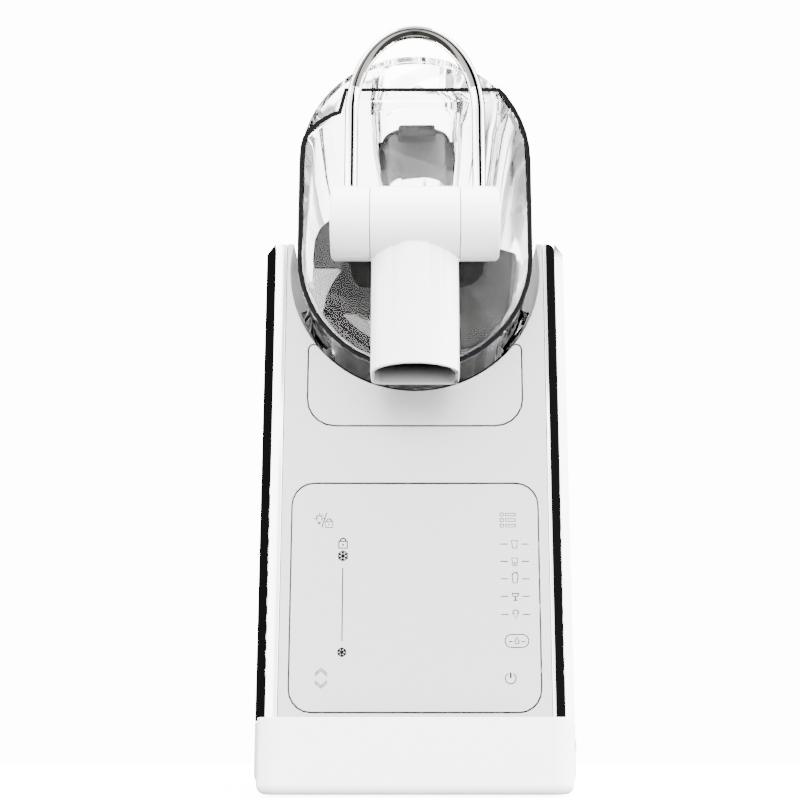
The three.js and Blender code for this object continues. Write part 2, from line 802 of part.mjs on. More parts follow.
function lug(side) {
  const arcPoints = [...arc(0, 0, 76.2, -43, -21, 4), ...arc(0, 0, 70.5, -21, -43, 4)];
  return prismY(mirrored(arcPoints, side).map(([x, z]) => [x, z + axisHeight]), -88, -58);
}

function vessel() {
  const shell = cut(
    prismY(stadium(vesselRadius), vesselFront, vesselBack),
    prismY(stadium(vesselRadius - vesselWall), vesselFront + vesselWall, vesselBack + 5),
  );
  const openTop = prismY([
    [0, upperCentre], pointAt(100, hingeAngle - 1.2).map((v, k) => v + k * upperCentre),
    [100, 520], [-100, 520], [-100, notchHeight], [-60, notchHeight],
  ], vesselFront + vesselWall, vesselBack + 5);
  const frontEdge = prismY([
    [-100, notchHeight], ...bend([-69.4, notchHeight], [-61, 408.5], [-47.9, 412.2], 5),
    [-44.1, vesselRim], [100, vesselRim], [100, 520], [-100, 520],
  ], vesselFront - 1, vesselFront + vesselWall + 0.1);
  const outlet = rodY(13, vesselFront - 1, vesselFront + 5, 0, valveHeight);
  return cut(
    join(
      cut(shell, openTop, frontEdge, outlet), lug(-1), lug(1),
      knuckleBarrel(-78, -60.5), knuckleBarrel(60.5, 78),
    ),
    knuckleHole(),
    hingeRoom(-60.4, 60.4),
  );
}

function vesselGasket() {
  return cut(
    prismY(stadium(vesselRadius, 16), vesselBack + gap, 118),
    prismY(stadium(vesselRadius - vesselWall - 0.8, 16), 110, 125),
  );
}

const chuteHalfWidth = 28.5;
const chuteWall = 2.5;
const chutePlanBack = 110;
const hatchFront = -46;
const hatchBack = 36;
const hatchHalfWidth = 22.5;

function chutePlan(inset) {
  const radius = 13 - inset;
  return roundedRectangle(
    inset - chuteHalfWidth, chuteHalfWidth - inset, -108 + inset, chutePlanBack - inset,
    [radius, radius, Math.max(4 - inset, 1), Math.max(4 - inset, 1)], 4,
  );
}

function lid() {
  const skin = 2.5;
  const [right, left] = [hingeAngle + 1.2, 167.1];
  const outerArc = arc(0, upperCentre, vesselRadius, right, left, 26);
  const dome = prismY(
    [...outerArc, ...arc(0, upperCentre, vesselRadius - skin, left, right, 26)],
    vesselFront + vesselWall + gap, vesselBack,
  );
  const frontWall = prismY(
    [...outerArc, [-68, 396.2], [-58, 404], [-46, 409.5], [-42, 421], [46, 421]],
    vesselFront + vesselWall + gap, vesselFront + vesselWall + gap + 2.5,
  );
  const underDome = prismY(arc(0, upperCentre, vesselRadius - 0.5, 0, 180, 26), -120, 120);
  const chuteWalls = cut(prismZ(chutePlan(0), 418, 460), prismZ(chutePlan(chuteWall), 410, 470));
  const chute = chuteWalls.intersect(underDome);
  const ledges = [-1, 1].map((side) => {
    const [a, b] = [side * 24.5, side * (chuteHalfWidth - 1)];
    return block(Math.min(a, b), Math.max(a, b), -98, chutePlanBack - 1, 418, 420);
  });
  const filling = prismZ(roundedRectangle(-21, 21, hatchFront + 6, hatchBack - 18, 8, 3), 432, 470);
  return cut(
    join(dome, frontWall, chute, ...ledges, knuckleBarrel(-60, 60)),
    filling,
    knuckleHole(),
    hingeRoom(-78.4, -60.1),
    hingeRoom(60.1, 78.4),
  );
}

function hingePin() {
  return rodY(1.1, -78, 78, hinge[0], hinge[1], 8);
}

// A vaulted hatch that slides on the two ledges of the filling chute.
function fillHatch() {
  const wallThickness = 2.2;
  const spring = 422.5;
  const vault = (inset) => arc(0, 0, 1, 0, 180, 16).map(([x, z]) => (
    [(hatchHalfWidth - inset) * x, spring + (11 - inset) * z]
  ));
  const arch = prismY([...vault(0), ...vault(wallThickness).reverse()], hatchFront, hatchBack);
  const flanges = [-1, 1].map((side) => {
    const [a, b] = [side * (hatchHalfWidth - wallThickness), side * 25.7];
    return block(Math.min(a, b), Math.max(a, b), hatchFront, hatchBack, 420.3, spring + 0.1);
  });
  const tab = prismY(roundedRectangle(-12, 12, 424.8, 432.4, 1.5, 2), hatchFront - 5, hatchFront + 7);
  return join(arch, ...flanges, tab);
}

// ---------------------------------------------------------------- dispensing valve and handle

const spoutHalfWidth = 25.6;
const spoutShoulder = valveY + 2;
const spoutDepth = 25.3;
const spoutLean = 0.11;

// The spout in plan at its mouth: flat at the back and round at the front.
function spoutPlan(inset) {
  const [half, depth] = [spoutHalfWidth - inset, spoutDepth - inset];
  const [rear, corner] = [valveY + 26 - inset, 6 - inset];
  const front = arc(0, 0, 1, 180, 360, 14).map(([x, y]) => [half * x, spoutShoulder + depth * y]);
  return [
    ...front,
    ...arc(half - corner, rear - corner, corner, 0, 90, 3),
    ...arc(corner - half, rear - corner, corner, 90, 180, 3),
  ];
}

// The front of the spout leans back as it rises, so that it meets the barrel under its middle.
function leaning(solid) {
  return solid.warp((point) => {
    if (point[1] >= spoutShoulder) return;
    const depth = spoutDepth - spoutLean * (point[2] - spoutBottom);
    point[1] = spoutShoulder + (point[1] - spoutShoulder) * depth / spoutDepth;
  });
}

const boreRadius = 16.4;

function valveBody() {
  const barrel = rodX(barrelRadius, -seam, seam, valveY, valveHeight, 32);
  const boss = rodY(18.5, valveY, vesselFront - gap, 0, valveHeight, 24);
  const crown = rodX(25.8, -40, 40, valveY, valveHeight - 6, 32);
  const lowerHalf = block(-40, 40, valveY - 60, valveY + 60, 200, valveHeight - 6);
  const spout = leaning(prismZ(spoutPlan(0), spoutBottom, 344)).intersect(join(crown, lowerHalf));
  const seat = cut(
    rodY(16.8, vesselFront - 3.1, vesselFront, 0, valveHeight),
    rodY(14.2, -120, -110, 0, valveHeight),
  );
  return cut(
    join(barrel, boss, spout),
    rodX(boreRadius, -seam - 1, seam + 1, valveY, valveHeight, 24),
    leaning(prismZ(spoutPlan(2.2), spoutBottom - 1, valveHeight - 4)),
    rodY(12, valveY, vesselFront + 1, 0, valveHeight),
    seat,
  );
}

function valveSeal() {
  return cut(
    rodY(16.5, vesselFront - 2.8, vesselFront - gap, 0, valveHeight),
    rodY(14.5, -120, -110, 0, valveHeight),
  );
}

// The turning plug, with a flat cut across it that opens the way down when the handle is pulled.
function valveRotor() {
  const plug = rodX(boreRadius - 0.4, -seam, seam, 0, 0, 24);
  const notch = new THREE.BoxGeometry(34, 40, 20).translate(0, 0, -16).rotateX(-25 * degrees);
  return join(
    cut(plug, toSolid(notch)),
    rodX(5, -38, 1 - seam, 0, 0, 12),
    rodX(5, seam - 1, 38, 0, 0, 12),
  );
}

// An end cap that turns with the handle. Its inner face has a bore for the plug's stub.
function valveCap(side) {
  const [inner, outer] = [seam + 0.35, barrelHalfLength];
  const profile = [
    [0, inner], [barrelRadius, inner], [barrelRadius, outer - 1.5], [barrelRadius - 1.5, outer], [0, outer],
  ];
  const points = profile.map(([r, x]) => new THREE.Vector2(r, x));
  const cap = toSolid(new THREE.LatheGeometry(points, 32).rotateZ(-90 * side * degrees));
  const [from, to] = [side * (inner - 1), side * 38.4];
  const stubBore = rodX(5.3, Math.min(from, to), Math.max(from, to), 0, 0, 12);
  const legSocket = rodZ(handleTube + 0.5, 9.7, 30, side * handleHalfWidth, 0, 12);
  return cut(cap, stubBore, legSocket);
}

function springPocket() {
  return cut(rodX(15, 20, 33, 0, 0, 20), rodX(7, 20, 33, 0, 0, 14));
}

function valveSpring() {
  const turns = 3;
  const points = Array.from({ length: 12 * turns + 1 }, (_, i) => {
    const angle = 30 * i * degrees;
    return [28.6 + 3 * i / (12 * turns), 11 * Math.cos(angle), 11 * Math.sin(angle)];
  });
  return tube(points, 0.45, 4, 36);
}

function handle() {
  const legFoot = 10;
  const legTop = 70;
  const rise = machineTop - valveHeight - handleTube - legTop;
  const bow = arc(0, 0, 1, 0, 180, 24).map(([x, z]) => [handleHalfWidth * x, 0, legTop + rise * z]);
  const leg = (x) => [0, 1, 2, 3].map((i) => [x, 0, legFoot + i * (legTop - legFoot) / 4]);
  return tube([...leg(handleHalfWidth), ...bow, ...leg(-handleHalfWidth).reverse()], handleTube, 8, 36);
}

// ---------------------------------------------------------------- assembly

const machine = new THREE.Group();

function placedGroup(x, y, z, ...meshes) {
  const group = new THREE.Group();
  group.position.set(x, y, z);
  group.add(...meshes);
  machine.add(group);
}

machine.add(
  piece('base_pan', basePan(), 'glossWhite'),
  ...Object.entries(footPlaces).map(([name, [x, y]]) => piece(name, foot(), 'rubber', [x, y, 0])),
  piece('front_panel', frontPanel(), 'satinSilver'),
  piece('control_panel', controlPanel(), 'satinSilver'),
  piece('control_board', controlBoard(), 'board'),
  piece('left_trim', trim(-1), 'chrome'),
  piece('right_trim', trim(1), 'chrome'),
  piece('left_side_panel', sidePanel(-1), 'chrome'),
  piece('right_side_panel', sidePanel(1), 'chrome'),
  piece('cradle_cover', cradleCover(), 'lightGrey'),
  piece('cradle_liner', cradleLiner(), 'black'),
  piece('bulkhead', bulkhead(), 'glossWhite'),
  piece('rear_tower', rearTower(), 'glossWhite'),
  piece('rear_cover', rearCover(), 'glossWhite'),
  piece('power_board', powerBoard(), 'board'),
  piece('power_inlet', powerInlet(), 'black'),
  piece('switch_housing', switchHousing(), 'black'),
);

machine.add(
  piece('compressor_plate', compressorPlate(), 'steel'),
  piece('compressor', compressor(), 'blackPaint', [-38, 128, 0]),
  piece('condenser', condenser(), 'aluminium'),
  piece('drier_filter', drierFilter(), 'copper', [72, 50, 0]),
  piece('discharge_pipe', dischargePipe(), 'copper'),
  piece('suction_pipe', suctionPipe(), 'copper'),
  piece('liquid_line', liquidLine(), 'copper'),
);

placedGroup(0, 0, fanHeight,
  piece('fan_frame', fanFrame(), 'black'),
  piece('fan_rotor', fanRotor(), 'black'),
);

placedGroup(...switchPlace, piece('rocker_switch', rockerSwitch(), 'midGrey'));

placedGroup(0, 0, axisHeight,
  piece('evaporator_drum', evaporatorDrum(), 'steel'),
  piece('evaporator_coil', evaporatorCoil(), 'copper'),
  piece('front_bushing', ring(8.6, 6.3, -84, -70), 'lightGrey'),
  piece('rear_bearing', ring(12, 6.3, 118.6, 124.5), 'steel'),
  piece('drive_shaft', driveShaft(), 'steel'),
  piece('drive_gear', driveGear(), 'lightGrey'),
  piece('auger_paddle', augerPaddle(), 'darkGrey'),
  piece('auger_blade', augerBlade(), 'lightGrey'),
  piece('gearbox_housing', gearboxHousing(), 'darkGrey'),
);

placedGroup(0, 0, axisHeight + pinionHeight,
  piece('motor_pinion', motorPinion(), 'steel'),
  piece('gear_motor', gearMotor(), 'steel'),
);

machine.add(
  piece('vessel', vessel(), 'clear'),
  piece('vessel_gasket', vesselGasket(), 'rubber'),
  piece('lid', lid(), 'clear'),
  piece('lid_hinge_pin', hingePin(), 'steel'),
  piece('fill_hatch', fillHatch(), 'midGrey'),
  piece('valve_body', valveBody(), 'glossWhite'),
  piece('valve_seal', valveSeal(), 'rubber'),
);

placedGroup(0, valveY, valveHeight,
  piece('valve_rotor', valveRotor(), 'darkGrey'),
  piece('left_valve_cap', valveCap(-1), 'glossWhite'),
  piece('right_valve_cap', cut(valveCap(1), springPocket()), 'glossWhite'),
  piece('valve_spring', valveSpring(), 'steel'),
  piece('handle', handle(), 'chrome'),
);

machine.add(
  piece('drip_tray', dripTray(), 'glossWhite'),
  piece('drip_grid', dripGrid(), 'steel'),
  piece('condensate_cover', condensateCover(), 'satinSilver'),
  piece('condensate_tray', condensateTray(), 'black'),
);

export default machine;
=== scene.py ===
import math
import bmesh
import bpy
from mathutils import Matrix, Vector


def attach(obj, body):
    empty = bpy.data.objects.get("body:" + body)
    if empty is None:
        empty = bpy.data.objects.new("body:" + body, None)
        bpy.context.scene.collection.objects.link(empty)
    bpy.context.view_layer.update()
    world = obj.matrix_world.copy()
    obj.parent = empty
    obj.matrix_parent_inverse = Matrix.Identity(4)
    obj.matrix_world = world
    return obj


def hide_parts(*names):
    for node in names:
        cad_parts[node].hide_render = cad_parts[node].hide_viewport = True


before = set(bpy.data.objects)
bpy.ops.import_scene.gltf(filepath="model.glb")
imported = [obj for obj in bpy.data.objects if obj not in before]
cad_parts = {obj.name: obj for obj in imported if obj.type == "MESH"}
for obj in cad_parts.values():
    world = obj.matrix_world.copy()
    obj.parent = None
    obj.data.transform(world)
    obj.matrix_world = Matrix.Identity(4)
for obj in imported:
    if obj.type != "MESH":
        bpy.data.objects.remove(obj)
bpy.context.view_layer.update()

mm = 0.001


# ------------------------------------------------------------------ camera
# A long lens close to the counter, tipped up at the machine. It stands in front of the drip tray,
# level with the foot of the machine.

lens_length = 65.33
tip_up = 14
bpy.ops.object.select_all(action="DESELECT")
bpy.ops.object.camera_add(location=(0, -0.953, 0.0171), rotation=(math.radians(90 + tip_up), 0, 0))
camera = bpy.context.object
camera.name = "counter_camera"
camera.data.lens = lens_length
camera.data.sensor_width = 36
camera.data.clip_start = 0.01
camera.data.shift_x = -0.01875
bpy.context.scene.camera = camera


# ------------------------------------------------------------------ studio
# A pale floor with no edge in view, and a bright white room. Bearings are 0 in front and grow to the
# right. Dark flags stand at the front right, left rear and right rear, for the chrome to mirror, with
# a dimmer gap where the camera stands, a veil and a ceiling band above it, and little light below.

bpy.ops.mesh.primitive_plane_add(size=30, location=(0, 0, -0.0002))
floor = bpy.context.object
floor.name = "studio_floor"

floor_finish = bpy.data.materials.new("pale studio floor")
floor_finish.use_nodes = True
nodes, links = floor_finish.node_tree.nodes, floor_finish.node_tree.links
surface = nodes["Principled BSDF"]
surface.inputs["Roughness"].default_value = 0.7
surface.inputs["Specular IOR Level"].default_value = 0.2
floor_tone = nodes.new("ShaderNodeTexNoise")
floor_tone.inputs["Scale"].default_value = 3
floor_range = nodes.new("ShaderNodeMapRange")
floor_range.inputs["To Min"].default_value = 0.93
floor_range.inputs["To Max"].default_value = 0.96
links.new(floor_tone.outputs["Fac"], floor_range.inputs["Value"])
links.new(floor_range.outputs[0], surface.inputs["Base Color"])
surface.inputs["Emission Color"].default_value = (1, 1, 1, 1)
surface.inputs["Emission Strength"].default_value = 9
floor.data.materials.append(floor_finish)
floor.visible_diffuse = False
floor.visible_glossy = False

room = bpy.data.worlds.new("white room")
bpy.context.scene.world = room
room.use_nodes = True
room_nodes, room_links = room.node_tree.nodes, room.node_tree.links
room_nodes.clear()


def room_math(operation, *values):
    node = room_nodes.new("ShaderNodeMath")
    node.operation = operation
    for socket, value in zip(node.inputs, values):
        if hasattr(value, "is_output"):
            room_links.new(value, socket)
        else:
            socket.default_value = value
    return node.outputs[0]


def room_step(value, edge, soft):
    node = room_nodes.new("ShaderNodeMapRange")
    node.interpolation_type = "SMOOTHSTEP"
    room_links.new(value, node.inputs["Value"])
    node.inputs["From Min"].default_value = edge - soft
    node.inputs["From Max"].default_value = edge + soft
    return node.outputs[0]


def room_band(value, low, high, soft):
    above = room_step(value, low, soft)
    below = room_math("SUBTRACT", 1.0, room_step(value, high, soft))
    return room_math("MULTIPLY", above, below)


looking = room_nodes.new("ShaderNodeTexCoord")
parts = room_nodes.new("ShaderNodeSeparateXYZ")
room_links.new(looking.outputs["Generated"], parts.inputs[0])
east, north, up = parts.outputs
south = room_math("MULTIPLY", north, -1.0)
bearing = room_math("MULTIPLY", room_math("ARCTAN2", east, south), 180 / math.pi)
height = room_math("MULTIPLY", room_math("ARCSINE", up), 180 / math.pi)

# Each flag: its bearings and their softness, its heights and their softness, and how much it darkens.
brightness = None
for bearings, heights, darkening in (
    ((-6, 42, 0.5), (21.2, 40, 0.3), 0.999),
    ((-5.0, 5.0, 0.3), (-60, 12, 1), 0.5),
    ((-4.9, 4.9, 0.2), (14, 20.5, 1.2), 0.8),
    ((-75, 75, 8), (23.5, 46, 2.5), 0.6),
    ((-168, -112, 4), (-30, 50, 3), 0.9988),
    ((112, 172, 4), (19.6, 60, 0.3), 0.995),
):
    flag = room_math("MULTIPLY", room_band(bearing, *bearings), room_band(height, *heights))
    left = room_math("SUBTRACT", 1.0, room_math("MULTIPLY", flag, darkening))
    brightness = left if brightness is None else room_math("MULTIPLY", brightness, left)
below = room_math("MULTIPLY", room_math("SUBTRACT", 1.0, room_step(height, -9, 5)), 0.93)
brightness = room_math("MULTIPLY", brightness, room_math("SUBTRACT", 1.0, below))


def glow(strength):
    node = room_nodes.new("ShaderNodeBackground")
    node.inputs["Color"].default_value = (1, 1, 1, 1)
    if hasattr(strength, "is_output"):
        room_links.new(strength, node.inputs["Strength"])
    else:
        node.inputs["Strength"].default_value = strength
    return node.outputs[0]


def either(switch, when_off, when_on):
    node = room_nodes.new("ShaderNodeMixShader")
    room_links.new(switch, node.inputs[0])
    room_links.new(when_off, node.inputs[1])
    room_links.new(when_on, node.inputs[2])
    return node.outputs[0]


mirrored_glow, soft_glow = 10, 14
mirrored_room = glow(room_math("MULTIPLY", brightness, mirrored_glow))
turn = room_math("MULTIPLY", bearing, math.pi / 180)
from_the_right = room_math("MULTIPLY_ADD", room_math("SINE", turn), 0.3, 0.7)
from_above = room_math("MULTIPLY_ADD", room_step(height, -18, 16), 0.96, 0.04)
soft_light = glow(room_math("MULTIPLY", room_math("MULTIPLY", from_the_right, from_above), soft_glow))
backdrop = glow(soft_glow)
ray = room_nodes.new("ShaderNodeLightPath").outputs
lighting = either(ray["Is Diffuse Ray"], mirrored_room, soft_light)
room_out = room_nodes.new("ShaderNodeOutputWorld")
room_links.new(either(ray["Is Camera Ray"], lighting, backdrop), room_out.inputs["Surface"])


def softbox(name, place, aim, size, watts):
    bpy.ops.object.light_add(type="AREA", location=place)
    lamp = bpy.context.object
    lamp.name = name
    lamp.data.shape = "RECTANGLE"
    lamp.data.size, lamp.data.size_y = size
    lamp.data.energy = watts
    lamp.rotation_euler = (Vector(aim) - Vector(place)).to_track_quat("-Z", "Y").to_euler()


softbox("overhead_softbox", (-0.1, -0.5, 1.5), (0, -0.02, 0.25), (1.4, 1.2), 26)
softbox("left_softbox", (-1.3, -0.8, 0.8), (0, 0, 0.25), (0.7, 1.1), 10)
softbox("right_softbox", (1.3, -0.5, 0.8), (0, 0, 0.25), (0.7, 1.1), 8)


# ------------------------------------------------------------------ base pan and feet
# The tub that everything stands in: injection moulded in white ABS, with a polished outside and a
# fine orange-peel from the mould. Four pressed-in rubber feet carry it.

def start_work():
    if bpy.context.object and bpy.context.object.mode != "OBJECT":
        bpy.ops.object.mode_set(mode="OBJECT")
    bpy.ops.object.select_all(action="DESELECT")


def take_up(made):
    start_work()
    made.select_set(True)
    bpy.context.view_layer.objects.active = made
    return made


def trued_copy(node, name, join_flats=True):
    """A piece that starts from the plain solid: its doubles merged, and its flat faces joined unless
    they have slots or holes in them."""
    made = bpy.data.objects.new(name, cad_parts[node].data.copy())
    bpy.context.collection.objects.link(made)
    made.data.materials.clear()
    take_up(made)
    bpy.ops.object.mode_set(mode="EDIT")
    bpy.ops.mesh.select_all(action="SELECT")
    bpy.ops.mesh.remove_doubles(threshold=0.00001)
    if join_flats:
        bpy.ops.mesh.dissolve_limited(angle_limit=math.radians(0.6))
    bpy.ops.object.mode_set(mode="OBJECT")
    return made


def soften_edges(made, width, segments=2, sharper_than=30, smooth_under=34):
    take_up(made)
    if width:
        bevel = made.modifiers.new("rounded edges", "BEVEL")
        bevel.width = width
        bevel.segments = segments
        bevel.limit_method = "ANGLE"
        bevel.angle_limit = math.radians(sharper_than)
        bevel.use_clamp_overlap = False
        bevel.miter_outer = "MITER_ARC"
        bpy.ops.object.modifier_apply(modifier=bevel.name)
    bpy.ops.object.shade_smooth_by_angle(angle=math.radians(smooth_under))
    flats = made.modifiers.new("true flats", "WEIGHTED_NORMAL")
    flats.keep_sharp = True
    bpy.ops.object.modifier_apply(modifier=flats.name)
    return made


def put_on(made, finish, body, slot, *nodes):
    """The finish, the body it rides on, the slot it stands for (not used) and the plain solids it
    replaces.
    """
    made.data.materials.clear()
    made.data.materials.append(finish)
    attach(made, body)
    if nodes:
        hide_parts(*nodes)
    return made


def follow_solid(node, name, finish, body, slot, rounding=0.0, segments=2, sharper_than=30,
                 smooth_under=34, join_flats=True):
    """A piece that keeps the plain solid's shape, with its edges rounded, in millimetres."""
    made = trued_copy(node, name, join_flats)
    soften_edges(made, rounding * mm, segments, sharper_than, smooth_under)
    return put_on(made, finish, body, slot, node)


def add_node(tree, kind, **settings):
    node = tree.nodes.new(kind)
    for name, value in settings.items():
        if name.startswith("in_"):
            node.inputs[name[3:].replace("_", " ")].default_value = value
        else:
            setattr(node, name, value)
    return node


def link_range(tree, source, target, low, high):
    """Feeds target with source, which runs from 0 to 1, brought between low and high."""
    spread = add_node(tree, "ShaderNodeMapRange")
    spread.inputs["To Min"].default_value, spread.inputs["To Max"].default_value = low, high
    tree.links.new(source, spread.inputs["Value"])
    tree.links.new(spread.outputs[0], target)


def link_edge(tree, source, start, stop):
    """A soft mask: 0 where source is before start, and 1 where it is past stop."""
    past = add_node(tree, "ShaderNodeMapRange", interpolation_type="SMOOTHSTEP")
    past.inputs["From Min"].default_value, past.inputs["From Max"].default_value = start, stop
    tree.links.new(source, past.inputs["Value"])
    return past


def link_tone(tree, mask, first, second):
    """Base Color that goes from first to second with mask. With no first, it starts from its own."""
    target = tree.nodes["Principled BSDF"].inputs["Base Color"]
    tone = add_node(tree, "ShaderNodeMix", data_type="RGBA")
    if first is None:
        tree.links.new(target.links[0].from_socket, tone.inputs["A"])
    else:
        tone.inputs["A"].default_value = (*first, 1)
    tone.inputs["B"].default_value = (*second, 1)
    tree.links.new(mask, tone.inputs["Factor"])
    tree.links.new(tone.outputs["Result"], target)
    return tone


def link_relief(tree, source, strength, depth):
    bump = add_node(tree, "ShaderNodeBump", in_Strength=strength, in_Distance=depth)
    tree.links.new(source, bump.inputs["Height"])
    tree.links.new(bump.outputs[0], tree.nodes["Principled BSDF"].inputs["Normal"])


def new_finish(name, effect, **settings):
    """A material with Object coordinates fed to a shared effect, whose other inputs are the settings."""
    finish = bpy.data.materials.new(name)
    finish.use_nodes = True
    tree = finish.node_tree
    place = add_node(tree, "ShaderNodeTexCoord")
    pattern = add_node(tree, "ShaderNodeGroup", node_tree=effect)
    for label, value in settings.items():
        pattern.inputs[label.replace("_", " ")].default_value = value
    tree.links.new(place.outputs["Object"], pattern.inputs["Place"])
    return finish, tree, tree.nodes["Principled BSDF"], pattern.outputs


def new_group(name, inputs, outputs):
    group = bpy.data.node_groups.new(name, "ShaderNodeTree")
    for label, kind, value in inputs:
        socket = group.interface.new_socket(label, in_out="INPUT", socket_type=kind)
        if value is not None:
            socket.default_value = value
    for label, kind in outputs:
        group.interface.new_socket(label, in_out="OUTPUT", socket_type=kind)
    return group, group.nodes.new("NodeGroupInput"), group.nodes.new("NodeGroupOutput")


# The skin of a moulded part: a fine grain in relief, and a slow change of tone from its flow.
grain, inside, outside = new_group(
    "moulded skin",
    [("Place", "NodeSocketVector", None), ("Grain per metre", "NodeSocketFloat", 1500.0),
     ("Flow per metre", "NodeSocketFloat", 18.0)],
    [("Relief", "NodeSocketFloat"), ("Tone", "NodeSocketFloat")],
)
fine = add_node(grain, "ShaderNodeTexNoise", in_Detail=2.0, in_Roughness=0.55)
slow = add_node(grain, "ShaderNodeTexNoise", in_Detail=3.0, in_Roughness=0.6)
speck = add_node(grain, "ShaderNodeTexVoronoi", feature="SMOOTH_F1")
blend_relief = add_node(grain, "ShaderNodeMath", operation="MULTIPLY_ADD")
blend_relief.inputs[1].default_value = 0.4
for texture, rate in ((fine, "Grain per metre"), (slow, "Flow per metre"), (speck, "Grain per metre")):
    grain.links.new(inside.outputs["Place"], texture.inputs["Vector"])
    grain.links.new(inside.outputs[rate], texture.inputs["Scale"])
grain.links.new(speck.outputs["Distance"], blend_relief.inputs[0])
grain.links.new(fine.outputs["Fac"], blend_relief.inputs[2])
grain.links.new(blend_relief.outputs[0], outside.inputs["Relief"])
grain.links.new(slow.outputs["Fac"], outside.inputs["Tone"])


def moulded(name, light, dark, gloss, relief=0.1, depth=0.00002, per_metre=1500, flow=18,
            coat=0.0, shine=0.5):
    """A moulded or painted finish: its two tones, its roughest and smoothest gloss, and its skin."""
    finish, tree, surface, skin = new_finish(name, grain, Grain_per_metre=per_metre, Flow_per_metre=flow)
    link_tone(tree, skin["Tone"], dark, light)
    link_range(tree, skin["Tone"], surface.inputs["Roughness"], *gloss)
    link_relief(tree, skin["Relief"], relief, depth)
    surface.inputs["Coat Weight"].default_value = coat
    surface.inputs["Coat Roughness"].default_value = 0.08
    surface.inputs["Specular IOR Level"].default_value = shine
    return finish


def grey(value):
    return (value, value, value)


gloss_white = moulded("white gloss plastic", grey(0.86), grey(0.83), (0.3, 0.2), 0.05,
                      per_metre=700, coat=0.25)
foot_rubber = moulded("foot rubber", grey(0.006), grey(0.004), (0.9, 0.75), 0.35, 0.00008, 1800, 40,
                      shine=0.1)

follow_solid("base_pan", "base_pan_moulding", gloss_white, "housing", "gloss_white", 0.5)

# Each foot is a turned rubber stud with a ribbed side and a dished sole.
foot_places = {
    "front_left_foot": (-74, -68), "front_right_foot": (74, -68),
    "rear_left_foot": (-74, 176), "rear_right_foot": (74, 176),
}
start_work()
bpy.ops.mesh.primitive_cylinder_add(vertices=40, radius=9 * mm, depth=3.7 * mm,
                                    location=(0, 0, 1.85 * mm))
stud = bpy.context.object
bpy.ops.object.transform_apply(location=True, rotation=True, scale=True)
bpy.ops.object.mode_set(mode="EDIT")
bpy.ops.mesh.select_all(action="DESELECT")
shape = bmesh.from_edit_mesh(stud.data)
for face in shape.faces:
    face.select = face.normal.z < -0.9
bmesh.update_edit_mesh(stud.data)
bpy.ops.mesh.inset(thickness=1.0 * mm, depth=0)
bpy.ops.mesh.inset(thickness=1.2 * mm, depth=-0.5 * mm)
bpy.ops.mesh.inset(thickness=3.0 * mm, depth=0)
bpy.ops.mesh.inset(thickness=0.4 * mm, depth=0.3 * mm)
bpy.ops.mesh.select_all(action="DESELECT")
shape = bmesh.from_edit_mesh(stud.data)
for face in shape.faces:
    face.select = face.normal.z > 0.9
bmesh.update_edit_mesh(stud.data)
bpy.ops.mesh.inset(thickness=5.8 * mm, depth=0)
bpy.ops.mesh.extrude_region_move(TRANSFORM_OT_translate={"value": (0, 0, 4.6 * mm)})
bpy.ops.mesh.extrude_region_move(TRANSFORM_OT_translate={"value": (0, 0, 0.1 * mm)})
bpy.ops.transform.resize(value=(1.5, 1.5, 1))
bpy.ops.mesh.extrude_region_move(TRANSFORM_OT_translate={"value": (0, 0, 2.1 * mm)})
bpy.ops.transform.resize(value=(0.8, 0.8, 1))
bpy.ops.object.mode_set(mode="OBJECT")
soften_edges(stud, 0.3 * mm)
for node, (x, y) in foot_places.items():
    shoe = bpy.data.objects.new(node + "_rubber", stud.data.copy())
    bpy.context.collection.objects.link(shoe)
    shoe.data.transform(Matrix.Translation((x * mm, y * mm, 0)))
    put_on(shoe, foot_rubber, "housing", "rubber", node)
bpy.data.objects.remove(stud)


# ------------------------------------------------------------------ drip tray and grid
# The tray is a white moulded box that hangs on the base by two tongues and slides off forwards. Its
# front corners and lower edge are well rounded. A slotted, brushed steel plate lies in its top.

def faces_where(made, test):
    """Selects the faces whose middle and normal pass the test, and no others."""
    bpy.ops.mesh.select_all(action="DESELECT")
    shape = bmesh.from_edit_mesh(made.data)
    for face in shape.faces:
        face.select_set(bool(test(face.calc_center_median(), face.normal)))
    bmesh.update_edit_mesh(made.data)


def join_to(made, others):
    take_up(made)
    for other in others:
        other.select_set(True)
    bpy.ops.object.join()


def edges_where(made, test):
    """Selects the edges whose middle and direction pass the test, and no others."""
    bpy.ops.mesh.select_all(action="DESELECT")
    bpy.ops.mesh.select_mode(type="EDGE")
    shape = bmesh.from_edit_mesh(made.data)
    for edge in shape.edges:
        first, second = edge.verts[0].co, edge.verts[1].co
        edge.select_set(bool(test((first + second) / 2, (second - first).normalized())))
    bmesh.update_edit_mesh(made.data)


def new_block(name, low, high):
    """A block from corner to corner, in millimetres, open in edit mode and ready to shape."""
    start_work()
    middle = [(a + b) / 2 * mm for a, b in zip(low, high)]
    bpy.ops.mesh.primitive_cube_add(size=1, location=middle)
    made = bpy.context.object
    made.name = name
    made.scale = [(b - a) * mm for a, b in zip(low, high)]
    bpy.ops.object.transform_apply(location=True, rotation=True, scale=True)
    bpy.ops.object.mode_set(mode="EDIT")
    return made


